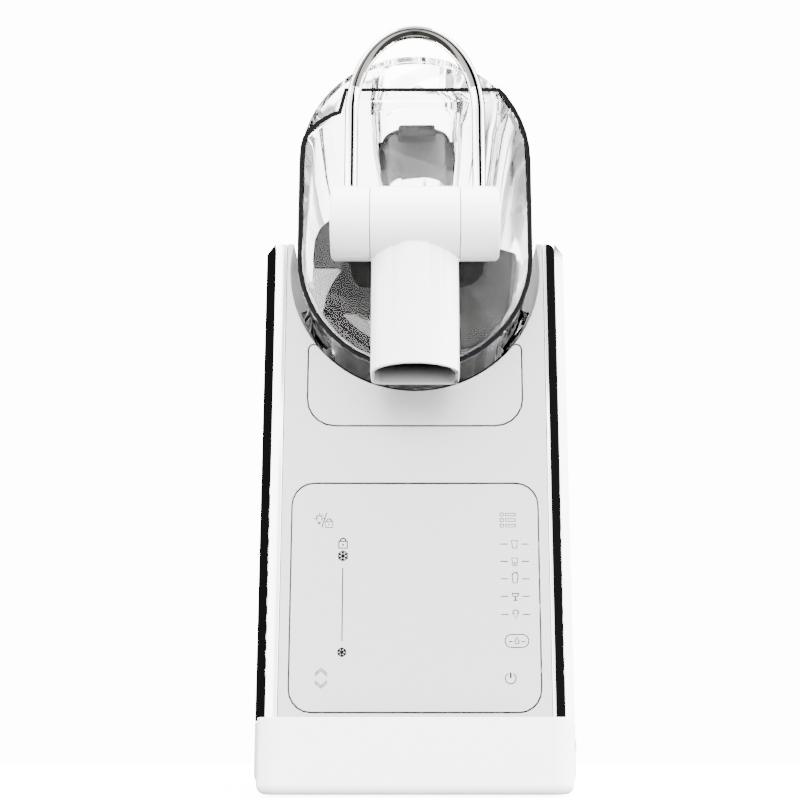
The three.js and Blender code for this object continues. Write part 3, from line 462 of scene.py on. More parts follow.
tray = new_block("drip_tray_moulding", (-81, -200, 1), (81, -92.3, 39.2))
edges_where(tray, lambda at, along: abs(along.z) > 0.9 and at.y < -0.15)
bpy.ops.mesh.bevel(offset=11 * mm, segments=10, profile=0.5)
edges_where(tray, lambda at, along: abs(along.z) > 0.9 and at.y > -0.1)
bpy.ops.mesh.bevel(offset=3 * mm, segments=4, profile=0.5)
edges_where(tray, lambda at, along: abs(along.z) < 0.1 and at.z < 0.0011)
bpy.ops.mesh.bevel(offset=5 * mm, segments=6, profile=0.5)
bpy.ops.mesh.select_mode(type="FACE")
faces_where(tray, lambda at, out: out.z > 0.9 and at.z > 0.039)
bpy.ops.mesh.inset(thickness=1.4 * mm)
bpy.ops.mesh.extrude_region_move(TRANSFORM_OT_translate={"value": (0, 0, -3.2 * mm)})
bpy.ops.mesh.inset(thickness=1.2 * mm)
bpy.ops.mesh.extrude_region_move(TRANSFORM_OT_translate={"value": (0, 0, -32 * mm)})
bpy.ops.object.mode_set(mode="OBJECT")
tongues = []
for side in (-1, 1):
    inner, outer = sorted((side * 35, side * 55))
    tongue = new_block("tray_tongue", (inner, -94, 12.2), (outer, -80, 16.2))
    faces_where(tongue, lambda at, out: out.y > 0.9)
    bpy.ops.transform.resize(value=(0.9, 1, 0.7))
    bpy.ops.object.mode_set(mode="OBJECT")
    tongues.append(tongue)
join_to(tray, tongues)
soften_edges(tray, 0.45 * mm, 2, 40)
put_on(tray, gloss_white, "tray", "gloss_white", "drip_tray")


# Rolled or drawn metal: fine scratches that run one way, and a slow cloudiness.
rolled, inside, outside = new_group(
    "drawn metal",
    [("Place", "NodeSocketVector", None), ("Stretch", "NodeSocketVector", (1.0, 1.0, 1.0))],
    [("Lines", "NodeSocketFloat"), ("Cloud", "NodeSocketFloat")],
)
stretched = add_node(rolled, "ShaderNodeVectorMath", operation="MULTIPLY")
scratches = add_node(rolled, "ShaderNodeTexNoise", in_Scale=1.0, in_Detail=4.0, in_Roughness=0.7)
cloud = add_node(rolled, "ShaderNodeTexNoise", in_Scale=22.0, in_Detail=2.0)
rolled.links.new(inside.outputs["Place"], stretched.inputs[0])
rolled.links.new(inside.outputs["Stretch"], stretched.inputs[1])
rolled.links.new(stretched.outputs[0], scratches.inputs["Vector"])
rolled.links.new(inside.outputs["Place"], cloud.inputs["Vector"])
rolled.links.new(scratches.outputs["Fac"], outside.inputs["Lines"])
rolled.links.new(cloud.outputs["Fac"], outside.inputs["Cloud"])


def bare_metal(name, light, dark, gloss, stretch, relief=0.15, depth=0.00002):
    """A metal with drawing lines. stretch says how many lines there are to the metre on each axis."""
    finish, tree, surface, drawn = new_finish(name, rolled, Stretch=stretch)
    surface.inputs["Metallic"].default_value = 1.0
    link_tone(tree, drawn["Lines"], dark, light)
    link_range(tree, drawn["Cloud"], surface.inputs["Roughness"], *gloss)
    link_relief(tree, drawn["Lines"], relief, depth)
    return finish


brushed_steel = bare_metal("brushed steel", grey(0.72), grey(0.5), (0.34, 0.24), (2500, 60, 60))
follow_solid("drip_grid", "drip_grid_plate", brushed_steel, "grid", "steel", join_flats=False)


# ------------------------------------------------------------------ front panel, touch panel and cover
# Pressed sheet painted in satin silver with a fine metallic flake. The touch panel and the cover of
# the meltwater tray sit in it with a thin dark gap all round.

def silver_paint(name):
    finish = bpy.data.materials.new(name)
    finish.use_nodes = True
    tree = finish.node_tree
    surface = tree.nodes["Principled BSDF"]
    surface.inputs["Metallic"].default_value = 0.82
    surface.inputs["Coat Weight"].default_value = 0.12
    surface.inputs["Coat Roughness"].default_value = 0.25
    place = add_node(tree, "ShaderNodeTexCoord")
    flake = add_node(tree, "ShaderNodeTexVoronoi", in_Scale=3800.0)
    tree.links.new(place.outputs["Object"], flake.inputs["Vector"])
    sparkle = add_node(tree, "ShaderNodeSeparateColor")
    tree.links.new(flake.outputs["Color"], sparkle.inputs[0])
    link_tone(tree, sparkle.outputs[0], (0.42, 0.424, 0.428), (0.5, 0.505, 0.51))
    link_range(tree, sparkle.outputs[1], surface.inputs["Roughness"], 0.34, 0.42)
    link_relief(tree, sparkle.outputs[2], 0.06, 0.00001)
    return finish


satin_silver = silver_paint("satin silver paint")
sheets = {"front_panel": "housing", "control_panel": "housing", "condensate_cover": "catch"}
for node, body in sheets.items():
    follow_solid(node, node + "_sheet", satin_silver, body, "satin_silver", 0.3, 2, 35)


# ------------------------------------------------------------------ printed signs
# Thin dark grey screen printing on the touch panel: a lamp and lock, a list, a temperature scale
# between two snowflakes, arrows, five drinks, a rinse key and the power sign.

ink = moulded("screen print ink", grey(0.004), grey(0.002), (0.6, 0.5), 0.2, 0.00001, 4000, 60,
              shine=0.02)
print_depth = -90.06
strokes = []


def stroke(*points, closed=False, heavy=False):
    strokes.append((points, closed, heavy))


def round_stroke(x, z, radius, start=0, stop=360, steps=24, heavy=False):
    angles = [math.radians(start + (stop - start) * i / steps) for i in range(steps + 1)]
    points = [(x + radius * math.cos(a), z + radius * math.sin(a)) for a in angles]
    closed = stop - start >= 360
    stroke(*(points[:-1] if closed else points), closed=closed, heavy=heavy)


def padlock(x, z, size, heavy=False):
    half = size * 0.36
    stroke((x - half, z - size * 0.5), (x + half, z - size * 0.5), (x + half, z + size * 0.08),
           (x - half, z + size * 0.08), closed=True, heavy=heavy)
    round_stroke(x, z + size * 0.1, size * 0.24, 0, 180, 10, heavy)
    stroke((x, z - size * 0.14), (x, z - size * 0.3), heavy=heavy)


def snowflake(x, z, size, heavy=False):
    for turn in range(6):
        a = math.radians(30 + 60 * turn)
        reach = lambda part, swing: (x + size * part * math.cos(a + swing),
                                     z + size * part * math.sin(a + swing))
        stroke((x, z), reach(0.5, 0), heavy=heavy)
        stroke(reach(0.46, 0.42), reach(0.27, 0), reach(0.46, -0.42), heavy=heavy)


def chevron(x, z, size, way):
    for shift in (0, 1.3):
        foot = z + way * shift
        stroke((x - size / 2, foot), (x, z + way * (shift + size * 0.42)), (x + size / 2, foot))


round_stroke(-57.4, 159.0, 1.7, -50, 230)
stroke((-58.4, 156.6), (-56.4, 156.6))
stroke((-58.1, 155.9), (-56.7, 155.9))
for turn in range(5):
    a = math.radians(180 - 45 * turn)
    stroke(*((-57.4 + reach * math.cos(a), 159 + reach * math.sin(a)) for reach in (2.4, 3.2)))
stroke((-55.9, 153.4), (-53.0, 162.4))
padlock(-51.6, 156.6, 6.2)
for row in (154.6, 158, 161.4):
    stroke((51.1, row - 0.9), (53.0, row - 0.9), (53.0, row + 0.9), (51.1, row + 0.9), closed=True)
    stroke((54.4, row - 0.75), (60.2, row - 0.75), (60.2, row + 0.75), (54.4, row + 0.75), closed=True)
padlock(-43, 144.6, 7, heavy=True)
snowflake(-43, 136.4, 6.6, heavy=True)
stroke((-43, 129.2), (-43, 86.2))
snowflake(-43, 79.6, 5.6, heavy=True)
chevron(-55, 66.0, 7.2, 1)
chevron(-55, 63.2, 7.2, -1)

# The five drinks: a plain glass, one with ice, one with foam, a stemmed glass, and a cone.
drinks_x = 59.5
for row, kind in zip((143.5, 133.1, 122.7, 112.4, 101.7), ("glass", "ice", "foam", "stem", "cone")):
    for way in (-1, 1):
        stroke((drinks_x + way * 4.2, row), (drinks_x + way * 8.6, row))
    if kind == "cone":
        round_stroke(drinks_x, row + 0.9, 1.7, -8, 188, 12)
        stroke((drinks_x - 1.7, row + 0.6), (drinks_x, row - 2.7), (drinks_x + 1.7, row + 0.6),
               closed=True)
    elif kind == "stem":
        round_stroke(drinks_x, row + 1.7, 2.0, 180, 360, 12)
        stroke((drinks_x - 2.0, row + 1.7), (drinks_x + 2.0, row + 1.7))
        stroke((drinks_x, row - 0.3), (drinks_x, row - 2.4))
        stroke((drinks_x - 1.3, row - 2.4), (drinks_x + 1.3, row - 2.4))
    else:
        stroke((drinks_x - 1.8, row + 2.1), (drinks_x - 1.2, row - 2.4), (drinks_x + 1.2, row - 2.4),
               (drinks_x + 1.8, row + 2.1), closed=kind != "foam")
        if kind == "ice":
            stroke((drinks_x - 0.7, row - 0.9), (drinks_x, row - 0.2), (drinks_x + 0.7, row - 0.9),
                   (drinks_x, row - 1.6), closed=True)
        if kind == "foam":
            round_stroke(drinks_x, row + 2.0, 1.7, 0, 180, 10)
            stroke((drinks_x + 0.6, row + 3.2), (drinks_x + 1.5, row + 4.2))

# The rinse key is a drop in a rounded frame.
key_x, key_z, key_half, key_round = 60, 86.2, 7, 3.8
outline = []
for centre, start in ((key_x + key_half - key_round, -90), (key_x - key_half + key_round, 90)):
    for i in range(9):
        a = math.radians(start + 180 * i / 8)
        outline.append((centre + key_round * math.cos(a), key_z + key_round * math.sin(a)))
stroke(*outline, closed=True)
round_stroke(key_x, key_z - 0.6, 1.2, 150, 390, 12)
stroke((key_x - 1.05, key_z), (key_x, key_z + 2.1), (key_x + 1.05, key_z))
for way in (-1, 1):
    stroke((key_x + way * 2.6, key_z - 0.4), (key_x + way * 4.8, key_z - 0.4))
round_stroke(56, 64.5, 3.1, 118, 422, 24)
stroke((56, 64.6), (56, 68.0), heavy=True)

start_work()
signs = bpy.data.curves.new("touch_panel_print", "CURVE")
signs.dimensions = "3D"
signs.bevel_depth = 0.32 * mm
signs.bevel_resolution = 1
signs.use_fill_caps = True
for points, closed, heavy in strokes:
    spline = signs.splines.new("POLY")
    spline.points.add(len(points) - 1)
    spline.use_cyclic_u = closed
    for knot, (x, z) in zip(spline.points, points):
        knot.co = (x * mm, print_depth * mm, z * mm, 1)
        knot.radius = 1.5 if heavy else 1.0
printed = bpy.data.objects.new("touch_panel_print", signs)
bpy.context.collection.objects.link(printed)
take_up(printed)
bpy.ops.object.convert(target="MESH")
printed = bpy.context.object
bpy.ops.object.mode_set(mode="EDIT")
bpy.ops.mesh.select_all(action="SELECT")
bpy.ops.transform.resize(value=(1, 0.15, 1), center_override=(0, print_depth * mm, 0))
bpy.ops.object.mode_set(mode="OBJECT")
put_on(printed, ink, "housing", "dark_grey")


# ------------------------------------------------------------------ polished trims and side panels
# Two chromed strips stand on the front corners. Behind them, polished stainless sheet folds round
# each side, with a bank of cooling slots.

def polished(name, tint, gloss, stretch):
    return bare_metal(name, grey(tint), grey(tint - 0.05), gloss, stretch, 0.03, 0.000004)


chrome = polished("polished chrome", 0.93, (0.03, 0.055), (40, 40, 40))
mirror_steel = polished("polished steel sheet", 0.85, (0.045, 0.08), (30, 30, 400))
chrome_with_painted_reflection = polished("polished chrome with painted dark reflection", 0.93, (0.03, 0.055), (40, 40, 40))


def dark_beyond(finish, axis, start, soft, dark):
    """Paints a finish darker past a line across one axis, for painted shade and painted dark
    reflections.
    """
    tree = finish.node_tree
    place = add_node(tree, "ShaderNodeTexCoord")
    split = add_node(tree, "ShaderNodeSeparateXYZ")
    tree.links.new(place.outputs["Object"], split.inputs[0])
    past = link_edge(tree, split.outputs[axis], start, start + soft)
    return past, link_tone(tree, past.outputs[0], None, dark)


# Painted dark reflection: the right trim's outer part, past x = 82.1 mm, is painted near black.
dark_beyond(chrome_with_painted_reflection, "X", 82.1 * mm, 0.1 * mm, grey(0.0015))
for node, finish in (("left_trim", chrome), ("right_trim", chrome_with_painted_reflection)):
    follow_solid(node, node + "_chromed", finish, "housing", "chrome", 0.5, 3)
for node in ("left_side_panel", "right_side_panel"):
    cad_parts[node].data.materials.clear()
    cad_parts[node].data.materials.append(mirror_steel)


# ------------------------------------------------------------------ cradle
# A light grey moulding spans the top of the body and forms the trough that the vessel lies in. A
# black channel lines its bottom and drains meltwater to the small tray below. Its black is partly
# painted shade, for the deep gap under the vessel.

light_grey = moulded("light grey plastic", grey(0.17), grey(0.15), (0.5, 0.38), 0.12, per_metre=1200)
black_plastic = moulded("black plastic", grey(0.003), grey(0.002), (0.6, 0.45), 0.25, 0.00004, 1600,
                        shine=0.08)
follow_solid("cradle_cover", "cradle_moulding", light_grey, "housing", "light_grey", 0.35)
# The channel's black is partly painted shade, for the deep gap between vessel and cradle.
follow_solid("cradle_liner", "meltwater_channel", black_plastic, "housing", "black_plastic", 0.2)
follow_solid("condensate_tray", "meltwater_tray", black_plastic, "catch", "black_plastic", 0.3)


# ------------------------------------------------------------------ bulkhead, rear tower and rear cover
# White mouldings. The tower houses the motor behind the vessel, with five air slots high in its
# back. The cover below has two columns of vents, and is held by four cross-head screws.

def combine(made, other, operation):
    """Joins, cuts or overlaps two closed shapes, and uses up the second."""
    take_up(made)
    tool = made.modifiers.new("shape tool", "BOOLEAN")
    tool.operation = operation
    tool.solver = "EXACT"
    tool.object = other
    bpy.ops.object.modifier_apply(modifier=tool.name)
    bpy.data.objects.remove(other)
    return made


follow_solid("bulkhead", "bulkhead_plate", gloss_white, "housing", "gloss_white", join_flats=False)

tower = new_block("rear_tower_moulding", (-80, 118.3, 333.8), (80, 200, 440))
edges_where(tower, lambda at, along: abs(along.y) > 0.9 and at.z > 0.4)
bpy.ops.mesh.bevel(offset=50 * mm, segments=20, profile=0.5)
faces_where(tower, lambda at, out: out.y > 0.9)
bpy.ops.mesh.region_to_loop()
bpy.ops.mesh.bevel(offset=4 * mm, segments=5, profile=0.5)
bpy.ops.mesh.select_mode(type="FACE")
faces_where(tower, lambda at, out: out.y < -0.9 or (out.z < -0.9 and at.z < 0.334))
bpy.ops.mesh.delete(type="FACE")
bpy.ops.object.mode_set(mode="OBJECT")
shell = tower.modifiers.new("wall", "SOLIDIFY")
shell.thickness = 3 * mm
shell.offset = -1
take_up(tower)
bpy.ops.object.modifier_apply(modifier=shell.name)
for i in range(5):
    slot_tool = new_block("slot_tool", (-30, 190, 350 + 11 * i), (30, 210, 354 + 11 * i))
    edges_where(slot_tool, lambda at, along: abs(along.y) > 0.9)
    bpy.ops.mesh.bevel(offset=1.9 * mm, segments=4)
    bpy.ops.object.mode_set(mode="OBJECT")
    combine(tower, slot_tool, "DIFFERENCE")
shoulders = []
for left, right in ((-92.1, -77.2), (77.2, 92.1)):
    plate = new_block("tower_shoulder", (left, 118.3, 330.5), (right, 195.5, 333.9))
    edges_where(plate, lambda at, along: abs(along.y) > 0.9)
    bpy.ops.mesh.bevel(offset=0.5 * mm, segments=2)
    bpy.ops.object.mode_set(mode="OBJECT")
    shoulders.append(plate)
join_to(tower, shoulders)
soften_edges(tower, 0.35 * mm, 2, 45)
put_on(tower, gloss_white, "housing", "gloss_white", "rear_tower")

follow_solid("rear_cover", "rear_cover_moulding", gloss_white, "housing", "gloss_white",
             join_flats=False)

screw_steel = bare_metal("zinc screw", grey(0.6), grey(0.4), (0.35, 0.2), (300, 300, 300))


def screw_head(name, x, y, z, body):
    """A pan head with a cross recess, turned to face the back."""
    start_work()
    bpy.ops.mesh.primitive_cylinder_add(vertices=28, radius=3.1 * mm, depth=2.2 * mm,
                                        location=(x * mm, (y + 0.3) * mm, z * mm),
                                        rotation=(math.radians(90), 0, 0))
    head = bpy.context.object
    head.name = name
    bpy.ops.object.transform_apply(location=True, rotation=True, scale=True)
    for turn in (40, 130):
        start_work()
        bpy.ops.mesh.primitive_cube_add(size=1, location=(x * mm, (y + 1.3) * mm, z * mm))
        bar = bpy.context.object
        bar.scale = (3.6 * mm, 2.0 * mm, 0.7 * mm)
        bar.rotation_euler = (0, math.radians(turn), 0)
        bpy.ops.object.transform_apply(location=True, rotation=True, scale=True)
        combine(head, bar, "DIFFERENCE")
    soften_edges(head, 0.35 * mm, 3, 50)
    return put_on(head, screw_steel, body, "steel")


for number, (x, z) in enumerate(((-84, 54), (84, 54), (-84, 320), (84, 320))):
    screw_head(f"rear_screw_{number + 1}", x, 199.8, z, "housing")


# ------------------------------------------------------------------ power inlet and switch
# A black appliance inlet with three brass blades sits low in the back. The rocker switch is set in
# the right side of the base: a grey key in a black frame.

follow_solid("power_inlet", "power_inlet_shell", black_plastic, "housing", "black_plastic",
             join_flats=False)
brass = bare_metal("inlet brass", (0.78, 0.6, 0.32), (0.6, 0.44, 0.2), (0.3, 0.2), (200, 900, 200))
blades = []
for x, z in ((-5, 59), (1, 65), (7, 59)):
    blade = new_block("inlet_blade", (53 + x, 184.5, z - 2.2), (55 + x, 196.4, z + 2.2))
    faces_where(blade, lambda at, out: out.y > 0.9)
    bpy.ops.transform.resize(value=(0.5, 1, 0.75))
    bpy.ops.object.mode_set(mode="OBJECT")
    blades.append(blade)
join_to(blades[0], blades[1:])
blades[0].name = "power_inlet_blades"
soften_edges(blades[0], 0.25 * mm)
put_on(blades[0], brass, "housing", "copper")

follow_solid("switch_housing", "switch_frame", black_plastic, "housing", "black_plastic", 0.4)
mid_grey = moulded("mid grey plastic", grey(0.1), grey(0.085), (0.4, 0.28), 0.1, per_metre=1400)
follow_solid("rocker_switch", "rocker_key", mid_grey, "rocker", "mid_grey", 0.5, 3, 40, 50)


# ------------------------------------------------------------------ freezing drum and auger
# The drum is a deep-drawn stainless can, cold from the coil inside it. A dark grey paddle and a
# light grey winding blade scrape it and push the frozen drink forward to the tap.

def turned_rod(name, radius, y0, y1, x=0, z=0, sides=64):
    """A rod along Y, in millimetres, left open in edit mode."""
    start_work()
    bpy.ops.mesh.primitive_cylinder_add(vertices=sides, radius=radius * mm, depth=(y1 - y0) * mm,
                                        location=(x * mm, (y0 + y1) / 2 * mm, z * mm),
                                        rotation=(math.radians(90), 0, 0))
    made = bpy.context.object
    made.name = name
    bpy.ops.object.transform_apply(location=True, rotation=True, scale=True)
    bpy.ops.object.mode_set(mode="EDIT")
    bpy.ops.mesh.select_mode(type="FACE")
    return made


drum_steel = bare_metal("drawn steel can", grey(0.68), grey(0.5), (0.3, 0.2), (60, 3000, 60))
follow_solid("evaporator_drum", "freezing_drum_can", drum_steel, "housing", "steel", 0.4, 2, 40)

dark_grey = moulded("dark grey plastic", grey(0.0032), grey(0.0026), (0.5, 0.42), 0.04, 0.00001, 1300,
                    shine=0.03)
follow_solid("auger_paddle", "auger_paddle_moulding", dark_grey, "auger_drive", "dark_grey", 0.8, 3, 40)
follow_solid("auger_blade", "auger_blade_moulding", light_grey, "auger_drive", "light_grey",
             smooth_under=40, join_flats=False)


# ------------------------------------------------------------------ vessel
# The clear drink vessel: polished moulded copolyester 3 mm thick. Its front edge is thick, with a
# painted dark reflection laid all round it, and it hangs by two lugs on the cradle. A white silicone
# ring seals its back.

def clear_wall(name, tint, painted_edge_tint, outline):
    """Clear plastic. A dark tone is painted where it is seen edge on, such as at its thick front edge: a
    painted dark reflection.
    """
    finish, tree, surface, skin = new_finish(name, grain, Grain_per_metre=90, Flow_per_metre=14)
    surface.inputs["Transmission Weight"].default_value = 1.0
    surface.inputs["IOR"].default_value = 1.2
    link_range(tree, skin["Tone"], surface.inputs["Roughness"], 0.008, 0.03)
    link_relief(tree, skin["Relief"], 0.05, 0.00004)
    # Painted dark reflection: the base colour goes dark where the wall is seen edge on.
    slant = add_node(tree, "ShaderNodeLayerWeight", in_Blend=0.5)
    edge_on = link_edge(tree, slant.outputs["Facing"], 0.86, 0.99)
    edge_on.inputs["To Max"].default_value = outline
    link_tone(tree, edge_on.outputs[0], tint, painted_edge_tint)
    return finish


vessel_clear = clear_wall("clear vessel plastic", grey(0.965), grey(0.1), 0.3)
lid_clear = clear_wall("clear lid plastic", grey(0.985), grey(0.3), 0.14)
follow_solid("vessel", "vessel_clear_shell", vessel_clear, "vessel_unit", "clear_plastic",
             smooth_under=30, join_flats=False)

# A dark tube lies along the thick front edge of the clear wall, all round the front outline: a
# painted dark reflection, for how that edge gathers the dark around it. Its line is the outer edge of
# the front wall, without the tap's hole, and drawn in a little.
front_y, tap_hole_z, middle_z, upper_z = -0.115, 0.324, 0.348, 0.42
rim_line = trued_copy("vessel", "vessel_front_edge")
outline = bmesh.new()
outline.from_mesh(rim_line.data)
front_faces = [face for face in outline.faces
               if face.normal.y < -0.99 and face.calc_center_median().y < front_y + 0.5 * mm]
kept = {edge for face in front_faces for edge in face.edges
        if sum(other in front_faces for other in edge.link_faces) == 1
        and Vector((edge.verts[0].co.x, edge.verts[0].co.z - tap_hole_z)).length > 20 * mm}
loose = [edge for edge in outline.edges if edge not in kept]
bmesh.ops.delete(outline, geom=list(outline.faces), context="FACES_ONLY")
bmesh.ops.delete(outline, geom=loose, context="EDGES")
for point in outline.verts:
    draw_in = 0.989 if point.co.z < upper_z else 0.992
    point.co.x *= 0.984
    point.co.z = middle_z + (point.co.z - middle_z) * draw_in
outline.to_mesh(rim_line.data)
outline.free()
take_up(rim_line)
bpy.ops.object.convert(target="CURVE")
rim_line = bpy.context.object
rim_line.data.bevel_depth = 1.5 * mm
rim_line.data.bevel_resolution = 3
bpy.ops.object.convert(target="MESH")
rim_line = bpy.context.object
for point in rim_line.data.vertices:
    point.co.y = front_y - 0.2 * mm + (point.co.y - front_y) * 0.2
# The edge tube's near-black finish is a painted dark reflection.
painted_dark_edge = moulded("painted dark edge of clear wall", grey(0.004), grey(0.002), (0.3, 0.2), 0.05,
                    per_metre=300, shine=0.04)
soften_edges(rim_line, 0, smooth_under=60)
put_on(rim_line, painted_dark_edge, "vessel_unit", "clear_plastic")

seal_white = moulded("white silicone seal", grey(0.6), grey(0.52), (0.6, 0.45), 0.15, 0.00004, 1200)
follow_solid("vessel_gasket", "vessel_seal_ring", seal_white, "vessel_unit", "rubber", 0.5)


# ------------------------------------------------------------------ lid and filling hatch
# The lid is the same clear plastic, hinged on a steel pin along its right edge, with a walled chute
# under its crown. A grey vaulted hatch slides in the chute over the filling opening.

follow_solid("lid", "lid_clear_shell", lid_clear, "lid_unit", "clear_plastic",
             smooth_under=30, join_flats=False)
follow_solid("lid_hinge_pin", "lid_hinge_rod", brushed_steel, "vessel_unit", "steel", 0.2)
smoky_grey = moulded("smoky grey plastic", grey(0.009), grey(0.007), (0.25, 0.15), 0.06,
                     per_metre=900, shine=0.12)
smoky_tree = smoky_grey.node_tree
smoky_tree.nodes["Principled BSDF"].inputs["Transmission Weight"].default_value = 0.35
crown_place = add_node(smoky_tree, "ShaderNodeTexCoord")
crown_split = add_node(smoky_tree, "ShaderNodeSeparateXYZ")
crown_side = add_node(smoky_tree, "ShaderNodeMath", operation="ABSOLUTE")
smoky_tree.links.new(crown_place.outputs["Object"], crown_split.inputs[0])
smoky_tree.links.new(crown_split.outputs["X"], crown_side.inputs[0])
crown_light = link_edge(smoky_tree, crown_side.outputs[0], 0.0155, 0.0135)
link_tone(smoky_tree, crown_light.outputs[0], None, grey(0.02))
follow_solid("fill_hatch", "fill_hatch_slider", smoky_grey, "hatch", "mid_grey", 0.5, 3, 40)


# ------------------------------------------------------------------ tap body
# The tap is moulded in gloss white: a barrel across the machine and a wide D-shaped spout under it,
# which blends into the barrel in a soft arch. Behind it a stub plugs into the vessel.

def rod_across(name, radius, x0, x1, y, z, sides=96):
    """A rod along X, in millimetres, left open in edit mode."""
    start_work()
    bpy.ops.mesh.primitive_cylinder_add(vertices=sides, radius=radius * mm, depth=(x1 - x0) * mm,
                                        location=((x0 + x1) / 2 * mm, y * mm, z * mm),
                                        rotation=(0, math.radians(90), 0))
    made = bpy.context.object
    made.name = name
    bpy.ops.object.transform_apply(location=True, rotation=True, scale=True)
    bpy.ops.object.mode_set(mode="EDIT")
    bpy.ops.mesh.select_mode(type="FACE")
    return made


tap_y, tap_z = -150, 324
spout_low, spout_high = 233, 344
shoulder = tap_y + 2
spout_half, spout_reach, spout_back, spout_corner = 25.6, 25.3, 26, 6
spout_lean = 0.11
wall = 2.2


def spout_solid(name, inset, low, high):
    """The leaning D-shaped prism: half a cylinder in front, hulled with two round rear corners."""
    half, depth, corner = spout_half - inset, spout_reach - inset, spout_corner - inset
    back = tap_y + spout_back - inset - corner
    rods = []
    for x, y, radius in ((0, shoulder, half), (half - corner, back, corner),
                         (corner - half, back, corner)):
        start_work()
        bpy.ops.mesh.primitive_cylinder_add(vertices=96 if x == 0 else 32, radius=radius * mm,
                                            depth=(high - low) * mm,
                                            location=(x * mm, y * mm, (low + high) / 2 * mm))
        bpy.ops.object.transform_apply(location=True, rotation=True, scale=True)
        rods.append(bpy.context.object)
    take_up(rods[0])
    bpy.ops.object.mode_set(mode="EDIT")
    shape = bmesh.from_edit_mesh(rods[0].data)
    for corner_point in shape.verts:
        corner_point.select_set(corner_point.co.y > (shoulder + 0.2) * mm)
    bmesh.update_edit_mesh(rods[0].data)
    bpy.ops.mesh.delete(type="VERT")
    bpy.ops.object.mode_set(mode="OBJECT")
    rods[1].select_set(True)
    rods[2].select_set(True)
    bpy.ops.object.join()
    bpy.ops.object.mode_set(mode="EDIT")
    bpy.ops.mesh.select_all(action="SELECT")
    bpy.ops.mesh.convex_hull()
    bpy.ops.object.mode_set(mode="OBJECT")
    rods[0].name = name
    for point in rods[0].data.vertices:
        if point.co.y < shoulder * mm:
            lean = (spout_reach - spout_lean * (point.co.z / mm - spout_low)) / spout_reach
            point.co.y = shoulder * mm + (point.co.y - shoulder * mm) * depth / half * lean
    return rods[0]


spout = spout_solid("spout", 0, spout_low, spout_high)
crown = rod_across("crown", 25.8, -40, 40, tap_y, tap_z - 6)
under = new_block("under", (-40, tap_y - 60, 200), (40, tap_y + 60, tap_z - 6))
combine(crown, under, "UNION")
combine(spout, crown, "INTERSECT")
tap = rod_across("tap_body_moulding", 22, -26, 26, tap_y, tap_z)
combine(tap, spout, "UNION")
combine(tap, turned_rod("stub", 18.5, tap_y, -115.3, 0, tap_z), "UNION")
combine(tap, spout_solid("spout_room", wall, spout_low - 1, tap_z - 4), "DIFFERENCE")
combine(tap, rod_across("bore", 16.4, -27, 27, tap_y, tap_z), "DIFFERENCE")
combine(tap, turned_rod("way_in", 12, tap_y, -114, 0, tap_z, 48), "DIFFERENCE")
take_up(tap)
bpy.ops.object.mode_set(mode="EDIT")
bpy.ops.mesh.select_all(action="SELECT")
bpy.ops.mesh.remove_doubles(threshold=0.00002)
bpy.ops.object.mode_set(mode="OBJECT")
soften_edges(tap, 0.9 * mm, 4, 32, 45)


def inside_spout(at):
    """True for a point of the wall inside the spout, which light hardly reaches; shade is painted there.
    """
    x, y, z = at / mm
    middle_of_wall = 1.3
    half = spout_half - middle_of_wall
    if z > tap_z - 4:
        return False
    if y > shoulder:
        return abs(x) < half and y < tap_y + spout_back - middle_of_wall
    reach = (spout_reach - spout_lean * (z - spout_low)) - middle_of_wall
    return (x / half) ** 2 + ((y - shoulder) / reach) ** 2 < 1


# Painted shade: faces inside the spout are marked, and their white is darkened to near black from the
# mouth upwards.
shade = tap.data.attributes.new("inside_spout", "FLOAT", "FACE")
for face in tap.data.polygons:
    shade.data[face.index].value = 1.0 if inside_spout(face.center) else 0.0
tap_white = moulded("white gloss tap with painted spout shade", grey(0.86), grey(0.83), (0.3, 0.2), 0.05,
                    per_metre=700, coat=0.25)
past, tone = dark_beyond(tap_white, "Z", (spout_low - 10) * mm, 22 * mm, grey(0.006))
tap_tree = tap_white.node_tree
marked = add_node(tap_tree, "ShaderNodeAttribute", attribute_name="inside_spout")
shaded = add_node(tap_tree, "ShaderNodeMath", operation="MULTIPLY")
tap_tree.links.new(past.outputs[0], shaded.inputs[0])
tap_tree.links.new(marked.outputs["Fac"], shaded.inputs[1])
tap_tree.links.new(shaded.outputs[0], tone.inputs["Factor"])
put_on(tap, tap_white, "vessel_unit", "gloss_white", "valve_body")
follow_solid("valve_seal", "tap_seal", foot_rubber, "vessel_unit", "rubber", 0.3)


# ------------------------------------------------------------------ end caps, plug, spring and handle
# The white end caps turn with the chromed hoop, which is bent from 8 mm tube and glued into them.
# They drive the plug inside the barrel, and a spring in the right cap shuts it again.

for node, name in (("left_valve_cap", "left_end_cap"), ("right_valve_cap", "right_end_cap")):
    follow_solid(node, name, gloss_white, "lever", "gloss_white", 0.9, 4, 50, 40)
follow_solid("valve_rotor", "tap_plug", dark_grey, "lever", "dark_grey", 0.5, 2, 40)
follow_solid("valve_spring", "return_spring", brushed_steel, "lever", "steel", smooth_under=80)

